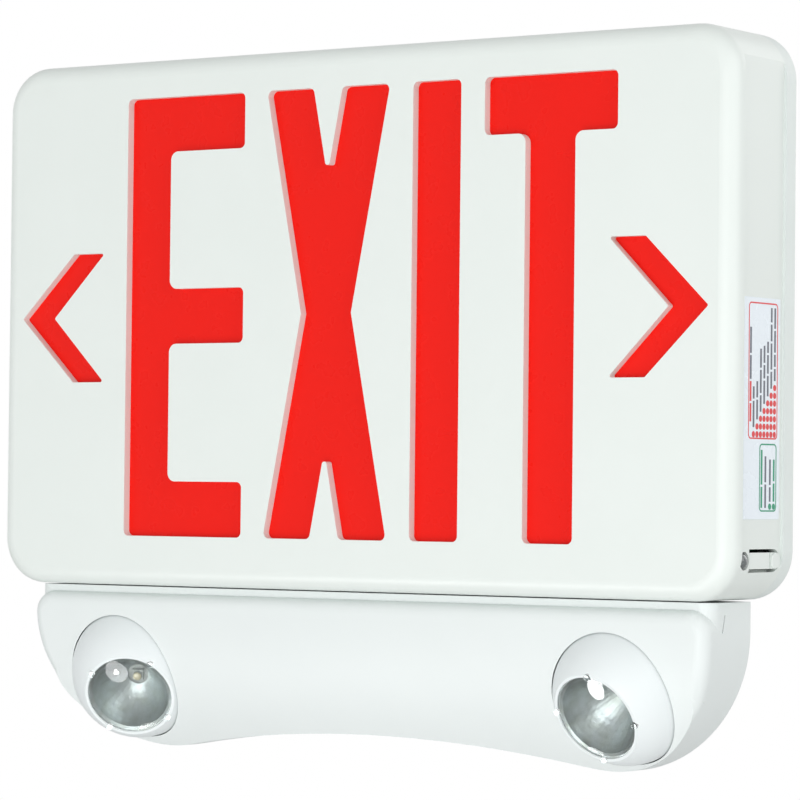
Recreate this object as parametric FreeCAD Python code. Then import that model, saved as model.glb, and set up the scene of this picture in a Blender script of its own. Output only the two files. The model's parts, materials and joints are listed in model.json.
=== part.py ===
"""Emergency exit light: a lit exit sign over a lamp base with two eyeball heads.

Frame: millimetres, +Z up, +X to the viewer's right, the front faces -Y. The origin is the
centre of the wall mounting on the back plate, so the wall is the plane y = 0.
One STEP file is written for each piece.
"""

import FreeCAD
import Part
import math
import os

V = FreeCAD.Vector
ALONG_Y = V(0, 1, 0)

# ------------------------------------------------------------------ sign housing
SIDE_MARGIN = 9.3           # from a chevron's tip to the sign's side
END_MARGIN = 15.45          # legend height to the sign's height, at each end
SIGN_DEPTH = 40.7
SIGN_CORNER = 16.0          # corner radius of the face's outline
FACE_ROUND = 6.0            # rounding between face and sides
FACE_WALL = 3.1             # face thickness, which is how deep the legend is recessed
COVER_WALL = 2.4
STRIP_DEPTH = 1.0           # the flat strip on the right side is let in by this much
STRIP_SETBACK = 6.5         # from the face to the strip's front edge
BACK_RIM_DEPTH = 7.5        # visible rim of the back plate
BACK_WALL = 2.2
BACK_EDGE_ROUND = 1.5
SPIGOT_LENGTH = 2.0         # lip of the back plate inside the cover
SPIGOT_WALL = 1.4
FIT = 0.25                  # gap between fitted mouldings

# ------------------------------------------------------------------ legend
LETTER_HEIGHT = 152.4
LETTER_WIDTH = 50.8
STROKE = 19.05
LETTER_GAP = 9.3
LEGEND_LEFT = -93.2         # left edge of the first letter
LEGEND_RISE = 1.85          # legend centre above the sign's centre
LETTER_ROUND = 2.0
LETTER_INNER_ROUND = 3.0
X_WAIST = 20.6
X_NOTCH_WIDTH = 1.576       # blunt bottom of the notches
X_NOTCH_ROUND = 0.9
CHEVRON_TIP = 139.9
CHEVRON_THICKNESS = 14.5    # from the tip to the inner vertex
CHEVRON_SWEEP = 23.1        # from the tip back to the outer ends
CHEVRON_END_WIDTH = 13.8
CHEVRON_HEIGHT = 45.2
CHEVRON_ROUND = 0.6

# ------------------------------------------------------------------ inside the sign
PANEL_THICKNESS = 2.0
PANEL_MARGIN = 3.6          # panel beyond the legend on every side
LIGHT_BOX_DEPTH = 16.1
LIGHT_BOX_WALL = 1.2
FLANGE_MARGIN = 1.0         # between the light box flange and the cover
SWITCH_BAY_MARGIN = 2.5     # room round the test board
LED_STRIP_LENGTH = 240.0
LED_STRIP_WIDTH = 9.0
BOARD_THICKNESS = 1.2
STRIP_LED_COUNT = 12
STRIP_LED_SIZE = (3.5, 2.8, 1.0)
CHARGER_WIDTH = 150.0
CHARGER_HEIGHT = 54.0
CHARGER_DROP = 12.25        # below the cover's top wall
CHARGER_THICKNESS = 1.6
TRANSFORMER_X = -42.0
CORE_WIDTH = 32.0
CORE_HEIGHT = 26.0
CORE_TOP = 9.5              # above the board
CORE_FOOT = 0.6
COIL_WIDTH = 20.0
COIL_HEIGHT = 34.0
COIL_TOP = 10.4
COIL_ROUND = 3.0
RELAY_X = 2.0
RELAY_DROP = 1.0            # top below the board's centre
RELAY_SIZE = (20.0, 10.0, 15.0)
RELAY_ROUND = 0.8
CAPACITORS = ((0.0, 4.0, 10.0), (16.0, 3.2, 9.0), (28.0, 3.2, 9.0))   # (x, radius, height)
CAPACITOR_RISE = 12.5       # above the board's centre
CAPACITOR_ROUND = 0.5
TERMINAL_X = 52.0
TERMINAL_DROP = 18.0        # lower edge below the board's centre
TERMINAL_SIZE = (24.0, 9.0, 10.0)
TERMINAL_PITCH = 7.6
TERMINAL_SCREW = 2.2
TERMINAL_SINK = 2.5
TERMINAL_WAY = 4.0
TERMINAL_LIFT = 1.5
POST_HEIGHT = 4.0
POST_RADIUS = 3.0
CELL_DIAMETER = 14.3
CELL_LENGTH = 50.0
CELL_COUNT = 4
BATTERY_SIDE_GAP = 37.2     # from the cover's left wall
BATTERY_LOWER_GAP = 16.25   # from the cover's bottom wall
STRAP_FOOT = 10.0
STRAP_WIDTH = 12.0
STRAP_THICKNESS = 0.8

# ------------------------------------------------------------------ wall mounting
BOX_SCREW_SPACING = 88.9
BOX_SCREW_HOLE = 4.8
WIRE_ENTRY_DIAMETER = 22.2

# ------------------------------------------------------------------ screws
SCREW_SHANK = 1.5
SCREW_HEAD = 2.8
SCREW_HEAD_HEIGHT = 1.8
SCREW_LENGTH = 8.0
SCREW_CLEARANCE = 0.2
BOSS_RADIUS = 3.5
LIGHT_BOX_BOSS_INSET = 20.8  # from the cover's side wall
BACK_BOSS_INSET = 29.25     # from the cover's top and bottom walls
WEB_THICKNESS = 2.4
WELL_RADIUS = 4.6

# ------------------------------------------------------------------ test button and status lamp
BUTTON_RISE = 13.0          # above the sign's bottom edge
TAB_HEIGHT = 5.2
TAB_THICKNESS = 1.6
TAB_ROOT = 12.8             # distance of the tab's root behind the face
TAB_END = 32.0              # distance of the tab's free end behind the face
TAB_SLOT = 1.1
TAB_END_GAP = 0.35
TAB_ROOT_GAP = 0.15
PAD_RAISE = 0.6
GROOVE_WIDTH = 1.0
GROOVE_DEPTH = 0.5
PRESS_TRAVEL = 1.0
PRESS_MARGIN = 0.3
NUB_RADIUS = 1.2
NUB_LENGTH = 0.9
STATUS_LED_RADIUS = 2.7
STATUS_LED_SETBACK = 9.5    # distance of its axis behind the face
STATUS_LED_PROUD = 0.8
SWITCH_BODY = 6.0
SWITCH_HEIGHT = 3.5
PLUNGER_RADIUS = 1.75
PLUNGER_HEIGHT = 0.8
TEST_BOARD_HEIGHT = 12.0
TEST_BOARD_FRONT = 6.3      # behind the face
TEST_BOARD_BACK_GAP = 0.4   # ahead of the cover's rear edge
RAIL_SETBACKS = (11.5, 25.5)
RAIL_THICKNESS = 2.0
RAIL_WIDTH = 4.2
RAIL_GRIP = 1.6             # how far a rail holds the board's edge
RAIL_PLAY = 0.05
SLIT_SETBACK = 15.8         # slit in the base's right side: behind the face
SLIT_TILT = 16.0            # lean of the slit, in degrees
SLIT_LENGTH = 6.0
SLIT_WIDTH = 0.6
SLIT_DEPTH = 1.2
SLIT_DROP = 6.8             # slit middle below the base's top
LABEL_FRONT = 8.0           # distances behind the face
LABEL_BACK = 31.5
LABEL_GAP = 13.2            # above the button's axis
LABEL_LENGTH = 70.3
LABEL_THICKNESS = 0.2

# ------------------------------------------------------------------ lamp base
BASE_INSET = 11.7           # inside the sign's side on each side
BASE_SEAM = 0.5             # shadow gap under the sign
BASE_HEIGHT = 56.5
BASE_CORNER = 46.5
ARCH_RISE = 8.1             # how far the bottom edge rises in the middle
BASE_BACK = -7.4
RIM_SETBACK = 8.0           # rim front behind the sign's face
RIM_HEIGHT = 2.3
RIM_ROUND = 5.0
BULGE_SETBACK = 4.0         # bulge front behind the sign's face
BULGE_CURVE = 68.0          # radius of the bulge's front in side view
BAND_HEIGHT = 3.7           # flat part of the bulge above its curve
BULGE_ROUND = 4.4
BULGE_CORNER = 7.5
BASE_WALL = 2.2
TRAY_INSET = 6.0            # inside the base's side on each side
TRAY_CORNER_STEP = 3.0      # tray corner radius less than the base's
TRAY_LIFT = 2.5             # tray bottom above the base's bottom
TRAY_DROP = 4.0             # tray top below the base's top
TRAY_WALL = 1.2
TRAY_FLANGE = 2.2
NECK_SCREW_X = 60.0
NECK_DEPTH = 14.0           # neck screws and wire hole in front of the wall
NECK_PAD = (140.0, 9.0)
WIRE_HOLE_RADIUS = 4.5
BASE_SCREWS = ((62.0, 18.0), (22.0, 34.0))   # (|x|, distance below the base's top)

# ------------------------------------------------------------------ eyeball heads
HEAD_INSET = 37.5           # ball centre inside the base's side
BALL_RADIUS = 24.0
BALL_WALL = 2.0
BALL_DEPTH = 9.78           # ball centre behind the bulge's surface, along the socket axis
BALL_DROP = 23.7            # ball centre below the top of the bulge's curve
BALL_BACK = 2.5             # shell goes on this far behind the trunnions
BALL_FRONT = 18.0           # flat front of the shell from the ball's centre
SOCKET_GAP = 0.4
LENS_RADIUS = 14.8
LENS_EDGE = 1.3
LENS_CROWN = 1.6
LENS_FIT = 0.1
LENS_SEAT_DEPTH = 2.1
LENS_SHOULDER = 1.6         # ring behind the lens seat
LENS_TAB_RADIUS = 1.1
LENS_TAB_RISE = 0.6
LENS_TAB_ANGLE = 60.0
REFLECTOR_WALL = 0.8
REFLECTOR_FLANGE = 0.5
REFLECTOR_THROAT = 3.2
REFLECTOR_MOUTH = 13.3
SPREADER_FRONT = 3.4
SPREADER_THICKNESS = 2.0
SPREADER_FIT = 0.15
LED_BOARD_RADIUS = 9.0
EMITTER_SIZE = 3.4
EMITTER_HEIGHT = 0.9
PIN_RADIUS = 1.5
PIN_RUNNING = 0.05
ARM_REACH = 20.3            # outside of the yoke's arms from the ball's centre
ARM_THICKNESS = 2.5
ARM_WIDTH = 7.0
ARM_CLEARANCE = 0.3
BRIDGE_BACK = 10.2
BRIDGE_THICKNESS = 2.0
PIVOT_RADIUS = 2.5
PIVOT_HEAD_RADIUS = 4.5
PIVOT_HEAD = 1.8
PIVOT_THREAD = 1.75
PIVOT_THREAD_LENGTH = 7.5
WASHER_RADIUS = 6.0
WASHER_THICKNESS = 0.5
PIVOT_BOSS_RADIUS = 6.5
END_PLAY = 0.05

# (side, swivel about the socket axis, tilt off it) as the heads are aimed
HEADS = {"left": (-1, 75.0, 23.2), "right": (1, -63.5, 6.7)}

# ------------------------------------------------------------------ worked out
SIGN_WIDTH = 2 * (CHEVRON_TIP + SIDE_MARGIN)
SIGN_HEIGHT = LETTER_HEIGHT + 2 * END_MARGIN
FRONT = -SIGN_DEPTH
FACE_BACK = FRONT + FACE_WALL
COVER_BACK = -BACK_RIM_DEPTH
COVER_INNER_X = SIGN_WIDTH / 2 - STRIP_DEPTH - COVER_WALL
COVER_INNER_Z = SIGN_HEIGHT / 2 - COVER_WALL
COVER_INNER_CORNER = SIGN_CORNER - COVER_WALL - STRIP_DEPTH
STRIP_X = SIGN_WIDTH / 2 - STRIP_DEPTH
PANEL_BACK = FACE_BACK + PANEL_THICKNESS
PANEL_HALF_X = CHEVRON_TIP + PANEL_MARGIN
PANEL_HALF_Z = LETTER_HEIGHT / 2 + PANEL_MARGIN
LIGHT_BOX_BACK = PANEL_BACK + LIGHT_BOX_DEPTH
LIGHT_BOX_BOSS = (COVER_INNER_X - LIGHT_BOX_BOSS_INSET, COVER_INNER_Z - BOSS_RADIUS)
BACK_BOSS = (COVER_INNER_X - BOSS_RADIUS, COVER_INNER_Z - BACK_BOSS_INSET)
WELL_SEAT = -BACK_WALL - SCREW_HEAD_HEIGHT
SIGN_BOTTOM = -SIGN_HEIGHT / 2
BUTTON_Z = SIGN_BOTTOM + BUTTON_RISE
LABEL_BOTTOM = BUTTON_Z + LABEL_GAP
CHARGER_CENTRE_Z = COVER_INNER_Z - CHARGER_DROP - CHARGER_HEIGHT / 2
BATTERY_CENTRE = (-COVER_INNER_X + BATTERY_SIDE_GAP + CELL_COUNT * CELL_DIAMETER / 2,
                  -COVER_INNER_Z + BATTERY_LOWER_GAP + CELL_LENGTH / 2)
BASE_WIDTH = SIGN_WIDTH - 2 * BASE_INSET
TRAY_WIDTH = BASE_WIDTH - 2 * TRAY_INSET
TRAY_CORNER = BASE_CORNER - TRAY_CORNER_STEP
HEAD_X = BASE_WIDTH / 2 - HEAD_INSET
BASE_TOP = SIGN_BOTTOM - BASE_SEAM
BASE_BOTTOM = BASE_TOP - BASE_HEIGHT
CORNER_X = BASE_WIDTH / 2 - BASE_CORNER
CORNER_Z = BASE_BOTTOM + BASE_CORNER
RIM_FRONT = FRONT + RIM_SETBACK
BULGE_FRONT = FRONT + BULGE_SETBACK
BULGE_TOP = BASE_TOP - RIM_HEIGHT
CURVE_TOP = BULGE_TOP - BAND_HEIGHT
CURVE_Y = BULGE_FRONT + BULGE_CURVE
BALL_ANGLE = math.asin(BALL_DROP / (BULGE_CURVE - BALL_DEPTH))
BALL_Y = CURVE_Y - (BULGE_CURVE - BALL_DEPTH) * math.cos(BALL_ANGLE)
BALL_Z = CURVE_TOP - BALL_DROP
SOCKET_AXIS = V(0, -math.cos(BALL_ANGLE), -math.sin(BALL_ANGLE))
TEST_BOARD_X = (STRIP_X - TAB_THICKNESS - NUB_LENGTH - PRESS_MARGIN - PRESS_TRAVEL - PLUNGER_HEIGHT
                - SWITCH_HEIGHT - BOARD_THICKNESS)
PAD_Y = FRONT + TAB_END - TAB_HEIGHT / 2
STATUS_LED_Y = FRONT + STATUS_LED_SETBACK


# ------------------------------------------------------------------ drawing helpers
def rounded_outline(corners):
    """Closed wire in the XZ plane from (x, z, radius) corners, each rounded by its radius."""
    entries = []
    count = len(corners)
    for index, (x, z, radius) in enumerate(corners):
        corner = V(x, 0, z)
        before = V(corners[index - 1][0], 0, corners[index - 1][1]) - corner
        after = V(corners[(index + 1) % count][0], 0, corners[(index + 1) % count][1]) - corner
        before.normalize()
        after.normalize()
        if radius <= 0:
            entries.append((corner, None, corner))
            continue
        half_angle = before.getAngle(after) / 2
        reach = radius / math.tan(half_angle)
        inward = before + after
        inward.normalize()
        middle = corner + inward * (radius / math.sin(half_angle) - radius)
        entries.append((corner + before * reach, middle, corner + after * reach))
    edges = []
    for index, (start, middle, end) in enumerate(entries):
        if middle is not None:
            edges.append(Part.Arc(start, middle, end).toShape())
        following = entries[(index + 1) % count][0]
        if end.distanceToPoint(following) > 1e-6:
            edges.append(Part.makeLine(end, following))
    return Part.Wire(edges)


def prism(wire, y_from, y_to):
    """Solid between two y planes with the section of a wire drawn at y = 0."""
    face = Part.Face(wire)
    face.translate(V(0, y_from, 0))
    return face.extrude(V(0, y_to - y_from, 0))


def rectangle(half_x, half_z, radius, centre_x=0.0, centre_z=0.0):
    """Rounded rectangle wire."""
    return rounded_outline([
        (centre_x - half_x, centre_z - half_z, radius),
        (centre_x + half_x, centre_z - half_z, radius),
        (centre_x + half_x, centre_z + half_z, radius),
        (centre_x - half_x, centre_z + half_z, radius),
    ])


def slab(half_x, half_z, radius, y_from, y_to, centre_x=0.0, centre_z=0.0):
    """Rounded rectangular block."""
    return prism(rectangle(half_x, half_z, radius, centre_x, centre_z), y_from, y_to)


def block(x_from, x_to, y_from, y_to, z_from, z_to):
    """Plain block between two corners."""
    return Part.makeBox(x_to - x_from, y_to - y_from, z_to - z_from, V(x_from, y_from, z_from))


def rod_y(x, z, radius, y_from, y_to):
    """Round bar along y."""
    return Part.makeCylinder(radius, y_to - y_from, V(x, y_from, z), ALONG_Y)


def round_edges(shape, radius, wanted):
    """Fillet of the edges that the test picks."""
    return shape.makeFillet(radius, [edge for edge in shape.Edges if wanted(edge)])


def at_plane_y(y):
    """Test for edges that lie wholly in one y plane."""
    def wanted(edge):
        return all(abs(vertex.Y - y) < 1e-4 for vertex in edge.Vertexes)
    return wanted


def pan_screw(seat, direction, length=SCREW_LENGTH):
    """Pan-head screw whose head's underside is at the seat; the shank runs along direction."""
    head = Part.makeCylinder(SCREW_HEAD, SCREW_HEAD_HEIGHT, seat - direction * SCREW_HEAD_HEIGHT, direction)
    head = round_edges(head, SCREW_HEAD_HEIGHT * 0.35,
                       lambda edge: edge.CenterOfMass.distanceToPoint(
                           seat - direction * SCREW_HEAD_HEIGHT) < 1e-3)
    slot_top = seat - direction * SCREW_HEAD_HEIGHT
    recess = Part.makeCone(SCREW_HEAD * 0.38, SCREW_HEAD * 0.2, SCREW_HEAD_HEIGHT * 0.6,
                           slot_top, direction)
    return head.cut(recess).fuse(Part.makeCylinder(SCREW_SHANK, length, seat, direction)).removeSplitter()


def export(name, shape):
    """Write one piece, after checking that it is sound."""
    if not shape.isValid() or shape.Volume <= 0:
        raise ValueError(name + " is not a sound solid")
    shape.exportStep("parts/" + name + ".step")
    print("%-22s %2d solid(s) %10.1f mm3" % (name, len(shape.Solids), shape.Volume))


# ------------------------------------------------------------------ legend
def bar_letter(outline, left):
    """Letter cutter from (x, z, inner) corners, x from the letter's left edge."""
    corners = [(left + x, LEGEND_RISE + z, LETTER_INNER_ROUND if inner else LETTER_ROUND)
               for x, z, inner in outline]
    return prism(rounded_outline(corners), FRONT - 1, FACE_BACK + 1)


def letter_e(left):
    """Stem with three equal arms."""
    top = LETTER_HEIGHT / 2
    bay = top - STROKE
    arm = STROKE / 2
    width = LETTER_WIDTH
    return bar_letter([
        (0, -top, False), (width, -top, False), (width, -bay, False), (STROKE, -bay, True),
        (STROKE, -arm, True), (width, -arm, False), (width, arm, False), (STROKE, arm, True),
        (STROKE, bay, True), (width, bay, False), (width, top, False), (0, top, False),
    ], left)


def letter_i(left):
    """Single upright."""
    top = LETTER_HEIGHT / 2
    return bar_letter([(0, -top, False), (STROKE, -top, False), (STROKE, top, False), (0, top, False)], left)


def letter_t(left):
    """Upright under a full-width arm."""
    top = LETTER_HEIGHT / 2
    bay = top - STROKE
    stem = (LETTER_WIDTH - STROKE) / 2
    width = LETTER_WIDTH
    return bar_letter([
        (stem, -top, False), (stem + STROKE, -top, False), (stem + STROKE, bay, True), (width, bay, False),
        (width, top, False), (0, top, False), (0, bay, False), (stem, bay, True),
    ], left)


def letter_x(left):
    """Two crossing legs, with blunt notches above and below the crossing."""
    top = LETTER_HEIGHT / 2
    outer = LETTER_WIDTH / 2
    slope = (outer - X_WAIST / 2) / top
    inner = outer - STROKE * math.hypot(1, slope)
    notch = X_NOTCH_WIDTH / 2
    notch_z = top - (inner - notch) / slope
    right = [(notch, notch_z, X_NOTCH_ROUND), (inner, top, LETTER_ROUND), (outer, top, LETTER_ROUND),
             (X_WAIST / 2, 0, 0), (outer, -top, LETTER_ROUND), (inner, -top, LETTER_ROUND),
             (notch, -notch_z, X_NOTCH_ROUND)]
    both = right + [(-x, z, radius) for x, z, radius in reversed(right)]
    corners = [(left + outer + x, LEGEND_RISE + z, radius) for x, z, radius in both]
    return prism(rounded_outline(corners), FRONT - 1, FACE_BACK + 1)


def chevron(side):
    """Arrow head that points outwards on one side."""
    high = CHEVRON_HEIGHT / 2
    outer = CHEVRON_TIP - CHEVRON_SWEEP
    inner = outer - CHEVRON_END_WIDTH
    corners = [(CHEVRON_TIP, 0), (outer, high), (inner, high), (CHEVRON_TIP - CHEVRON_THICKNESS, 0),
               (inner, -high), (outer, -high)]
    placed = [(side * x, LEGEND_RISE + z, CHEVRON_ROUND) for x, z in corners]
    return prism(rounded_outline(placed), FRONT - 1, FACE_BACK + 1)


def legend():
    """All openings of the legend, as cutters through the face."""
    step = LETTER_WIDTH + LETTER_GAP
    third = LEGEND_LEFT + 2 * step
    return [letter_e(LEGEND_LEFT), letter_x(LEGEND_LEFT + step), letter_i(third),
            letter_t(third + STROKE + LETTER_GAP), chevron(-1), chevron(1)]


# ------------------------------------------------------------------ sign housing
def screw_well(x, z, y_seat):
    """Post with a sunk seat for a pan screw driven from the back, and the hole through it."""
    post = rod_y(x, z, WELL_RADIUS, y_seat - BACK_WALL, 0)
    sink = rod_y(x, z, SCREW_HEAD + SCREW_CLEARANCE * 2, y_seat, 1)
    hole = rod_y(x, z, SCREW_SHANK + SCREW_CLEARANCE, y_seat - BACK_WALL - 1, 1)
    return post, sink.fuse(hole)


def screw_boss(x, z, y_from, y_to):
    """Post that a screw from the back bites into, and its pilot hole."""
    return rod_y(x, z, BOSS_RADIUS, y_from, y_to), rod_y(x, z, SCREW_SHANK, y_to - SCREW_LENGTH, y_to + 1)


def signed(points):
    """Four mirrored copies of (x, z) points."""
    return [(sx * x, sz * z) for x, z in points for sx in (-1, 1) for sz in (-1, 1)]


def button_window():
    """Opening round the button's tab: two slots, a rounded end and a hairline at the root."""
    root = FRONT + TAB_ROOT - TAB_ROOT_GAP
    end = FRONT + TAB_END + TAB_END_GAP
    half = TAB_HEIGHT / 2 + TAB_SLOT
    slot = block(COVER_INNER_X - 1, STRIP_X + 1, root, end - half, BUTTON_Z - half, BUTTON_Z + half)
    round_end = Part.makeCylinder(half, STRIP_X - COVER_INNER_X + 2,
                                  V(COVER_INNER_X - 1, end - half, BUTTON_Z), V(1, 0, 0))
    return slot.fuse(round_end)


def board_rails():
    """Two slotted ribs that hold the lower edge of the test board."""
    rails = []
    low = BUTTON_Z - TEST_BOARD_HEIGHT / 2
    middle = TEST_BOARD_X + BOARD_THICKNESS / 2
    groove = BOARD_THICKNESS / 2 + RAIL_PLAY
    for setback in RAIL_SETBACKS:
        y = FRONT + setback
        rail = block(middle - RAIL_WIDTH / 2, middle + RAIL_WIDTH / 2, y, y + RAIL_THICKNESS,
                     SIGN_BOTTOM + COVER_WALL / 2, low + RAIL_GRIP)
        slot = block(middle - groove, middle + groove, y - 1, y + RAIL_THICKNESS + 1, low, low + 2 * RAIL_GRIP)
        rails.append(rail.cut(slot))
    return rails[0].fuse(rails[1:])


def boss_web(x, z, y_from, grow):
    """Web between a rear screw boss and the cover's side wall, or the slot that clears it."""
    reach = x + math.copysign(BOSS_RADIUS + 1, x)
    half = WEB_THICKNESS / 2 + grow
    return block(min(x, reach), max(x, reach), y_from, WELL_SEAT - BACK_WALL, z - half, z + half)


def front_cover():
    """Face and sides in one moulding, with the legend cut through the face."""
    outer = slab(SIGN_WIDTH / 2, SIGN_HEIGHT / 2, SIGN_CORNER, FRONT, COVER_BACK)
    outer = round_edges(outer, FACE_ROUND, at_plane_y(FRONT))
    strip = block(STRIP_X, STRIP_X + 10, FRONT + STRIP_SETBACK, 1, -SIGN_HEIGHT, SIGN_HEIGHT)
    outer = outer.cut(strip)
    cavity = slab(COVER_INNER_X, COVER_INNER_Z, COVER_INNER_CORNER, FACE_BACK, 1)
    shell = outer.cut(cavity)
    added = board_rails()
    holes = button_window()
    for x, z in signed([LIGHT_BOX_BOSS]):
        boss, pilot = screw_boss(x, z, FACE_BACK - FACE_WALL / 2, LIGHT_BOX_BACK - LIGHT_BOX_WALL)
        added = added.fuse(boss)
        holes = holes.fuse(pilot)
    for x, z in signed([BACK_BOSS]):
        boss, pilot = screw_boss(x, z, LIGHT_BOX_BACK + FIT * 2, WELL_SEAT - BACK_WALL)
        web = boss_web(x, z, LIGHT_BOX_BACK + FIT * 2, 0)
        added = added.fuse(boss).fuse(web)
        holes = holes.fuse(pilot)
    for side in (-1, 1):
        seat = V(side * NECK_SCREW_X, -NECK_DEPTH, SIGN_BOTTOM + COVER_WALL / 2)
        added = added.fuse(Part.makeCylinder(BOSS_RADIUS, SCREW_LENGTH, seat))
        holes = holes.fuse(Part.makeCylinder(SCREW_SHANK, SCREW_LENGTH + COVER_WALL,
                                             seat - V(0, 0, COVER_WALL)))
    holes = holes.fuse(Part.makeCylinder(WIRE_HOLE_RADIUS, COVER_WALL * 3,
                                         V(0, -NECK_DEPTH, SIGN_BOTTOM - COVER_WALL)))
    holes = holes.fuse(Part.makeCylinder(STATUS_LED_RADIUS + FIT, 10,
                                         V(COVER_INNER_X - 1, STATUS_LED_Y, BUTTON_Z), V(1, 0, 0)))
    shell = shell.fuse(added.common(outer)).cut(holes)
    for opening in legend():
        shell = shell.cut(opening)
    return shell.removeSplitter()


def back_plate():
    """Wall plate with a rim, a spigot into the cover, box screw holes and the wire entry."""
    plate = slab(SIGN_WIDTH / 2, SIGN_HEIGHT / 2, SIGN_CORNER, COVER_BACK, 0)
    plate = round_edges(plate, BACK_EDGE_ROUND, at_plane_y(0))
    hollow_x = COVER_INNER_X - FIT - SPIGOT_WALL
    hollow_z = COVER_INNER_Z - FIT - SPIGOT_WALL
    spigot = slab(COVER_INNER_X - FIT, COVER_INNER_Z - FIT, COVER_INNER_CORNER - FIT,
                  COVER_BACK - SPIGOT_LENGTH, COVER_BACK)
    hollow = slab(hollow_x, hollow_z, COVER_INNER_CORNER - FIT - SPIGOT_WALL,
                  COVER_BACK - SPIGOT_LENGTH - 1, -BACK_WALL)
    bay = block(switch_bay()[0], SIGN_WIDTH / 2, COVER_BACK - SPIGOT_LENGTH - 1, COVER_BACK,
                SIGN_BOTTOM, switch_bay()[1])
    plate = plate.fuse(spigot.cut(bay))
    for x, z in signed([BACK_BOSS]):
        plate = plate.cut(rod_y(x, z, BOSS_RADIUS + FIT, COVER_BACK - SPIGOT_LENGTH - 1, WELL_SEAT - BACK_WALL))
        plate = plate.cut(boss_web(x, z, COVER_BACK - SPIGOT_LENGTH - 1, FIT))
    plate = plate.cut(hollow)
    for x, z in signed([BACK_BOSS]):
        post, holes = screw_well(x, z, WELL_SEAT)
        plate = plate.fuse(post).cut(holes)
    for x, z in board_posts():
        plate = plate.fuse(rod_y(x, z, POST_RADIUS, -BACK_WALL - POST_HEIGHT, -BACK_WALL))
        plate = plate.cut(rod_y(x, z, SCREW_SHANK, -BACK_WALL - POST_HEIGHT - 1, -BACK_WALL / 2))
    for x, z in strap_feet():
        plate = plate.cut(rod_y(x, z, SCREW_SHANK, -BACK_WALL - 1, -BACK_WALL / 4))
    for side in (-1, 1):
        plate = plate.cut(rod_y(side * BOX_SCREW_SPACING / 2, 0, BOX_SCREW_HOLE / 2, -BACK_WALL - 1, 1))
    plate = plate.cut(rod_y(0, 0, WIRE_ENTRY_DIAMETER / 2, -BACK_WALL - 1, 1))
    return plate.removeSplitter()


def back_screws():
    """Four screws through the back plate into the cover."""
    return Part.makeCompound([pan_screw(V(x, WELL_SEAT, z), V(0, -1, 0)) for x, z in signed([BACK_BOSS])])


# ------------------------------------------------------------------ light engine
def switch_bay():
    """Inner edge and top of the corner that is left free for the test switch."""
    return TEST_BOARD_X - SWITCH_BAY_MARGIN, BUTTON_Z + TEST_BOARD_HEIGHT / 2 + SWITCH_BAY_MARGIN


def bay_outline(half_x, z_from, z_to, grow=0.0):
    """Rectangle with the switch bay left out of its lower right corner."""
    bay_x = switch_bay()[0] - grow
    bay_z = switch_bay()[1] + grow
    return rounded_outline([(-half_x, z_from, 2), (bay_x, z_from, 1), (bay_x, bay_z, 1),
                            (half_x, bay_z, 1), (half_x, z_to, 2), (-half_x, z_to, 2)])


def legend_panel():
    """Translucent colour panel behind the legend."""
    return slab(PANEL_HALF_X, PANEL_HALF_Z, 1.5, FACE_BACK, PANEL_BACK, centre_z=LEGEND_RISE)


def light_box():
    """White tray behind the panel that holds the LED strips, with a screwed flange."""
    low = LEGEND_RISE - PANEL_HALF_Z
    high = LEGEND_RISE + PANEL_HALF_Z
    wall = LIGHT_BOX_WALL
    body = prism(bay_outline(PANEL_HALF_X, low, high), PANEL_BACK, LIGHT_BOX_BACK)
    inner = prism(bay_outline(PANEL_HALF_X - wall, low + wall, high - wall, wall),
                  PANEL_BACK - 1, LIGHT_BOX_BACK - wall)
    flange = prism(bay_outline(COVER_INNER_X - FLANGE_MARGIN, -COVER_INNER_Z + FLANGE_MARGIN,
                               COVER_INNER_Z - FLANGE_MARGIN), LIGHT_BOX_BACK - wall, LIGHT_BOX_BACK)
    corner = slab(COVER_INNER_X - FLANGE_MARGIN, COVER_INNER_Z - FLANGE_MARGIN,
                  COVER_INNER_CORNER - FLANGE_MARGIN, LIGHT_BOX_BACK - wall, LIGHT_BOX_BACK)
    tray = body.fuse(flange.common(corner)).cut(inner)
    for x, z in signed([LIGHT_BOX_BOSS]):
        tray = tray.cut(rod_y(x, z, SCREW_SHANK + SCREW_CLEARANCE, LIGHT_BOX_BACK - wall - 1, LIGHT_BOX_BACK + 1))
    return tray.removeSplitter()


def light_box_screws():
    """Four screws through the light box flange."""
    return Part.makeCompound([pan_screw(V(x, LIGHT_BOX_BACK, z), V(0, -1, 0), SCREW_LENGTH - LIGHT_BOX_WALL)
                              for x, z in signed([LIGHT_BOX_BOSS])])


def strip_board_z(side):
    """Edge of the light box's wall that a strip board lies against."""
    return LEGEND_RISE + side * (PANEL_HALF_Z - LIGHT_BOX_WALL)


def led_strip(side):
    """Narrow circuit board along the top or the bottom of the light box."""
    wall = strip_board_z(side)
    y_mid = (PANEL_BACK + LIGHT_BOX_BACK - LIGHT_BOX_WALL) / 2
    low = min(wall, wall - side * BOARD_THICKNESS)
    return block(-LED_STRIP_LENGTH / 2, LED_STRIP_LENGTH / 2, y_mid - LED_STRIP_WIDTH / 2,
                 y_mid + LED_STRIP_WIDTH / 2, low, low + BOARD_THICKNESS)


def strip_leds(side):
    """Row of LED packages on a strip board."""
    length, depth, height = STRIP_LED_SIZE
    face = strip_board_z(side) - side * BOARD_THICKNESS
    y_mid = (PANEL_BACK + LIGHT_BOX_BACK - LIGHT_BOX_WALL) / 2
    low = min(face, face - side * height)
    pitch = LED_STRIP_LENGTH / STRIP_LED_COUNT
    packages = []
    for index in range(STRIP_LED_COUNT):
        x = -LED_STRIP_LENGTH / 2 + pitch * (index + 0.5)
        packages.append(block(x - length / 2, x + length / 2, y_mid - depth / 2, y_mid + depth / 2,
                              low, low + height))
    return Part.makeCompound(packages)


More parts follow.
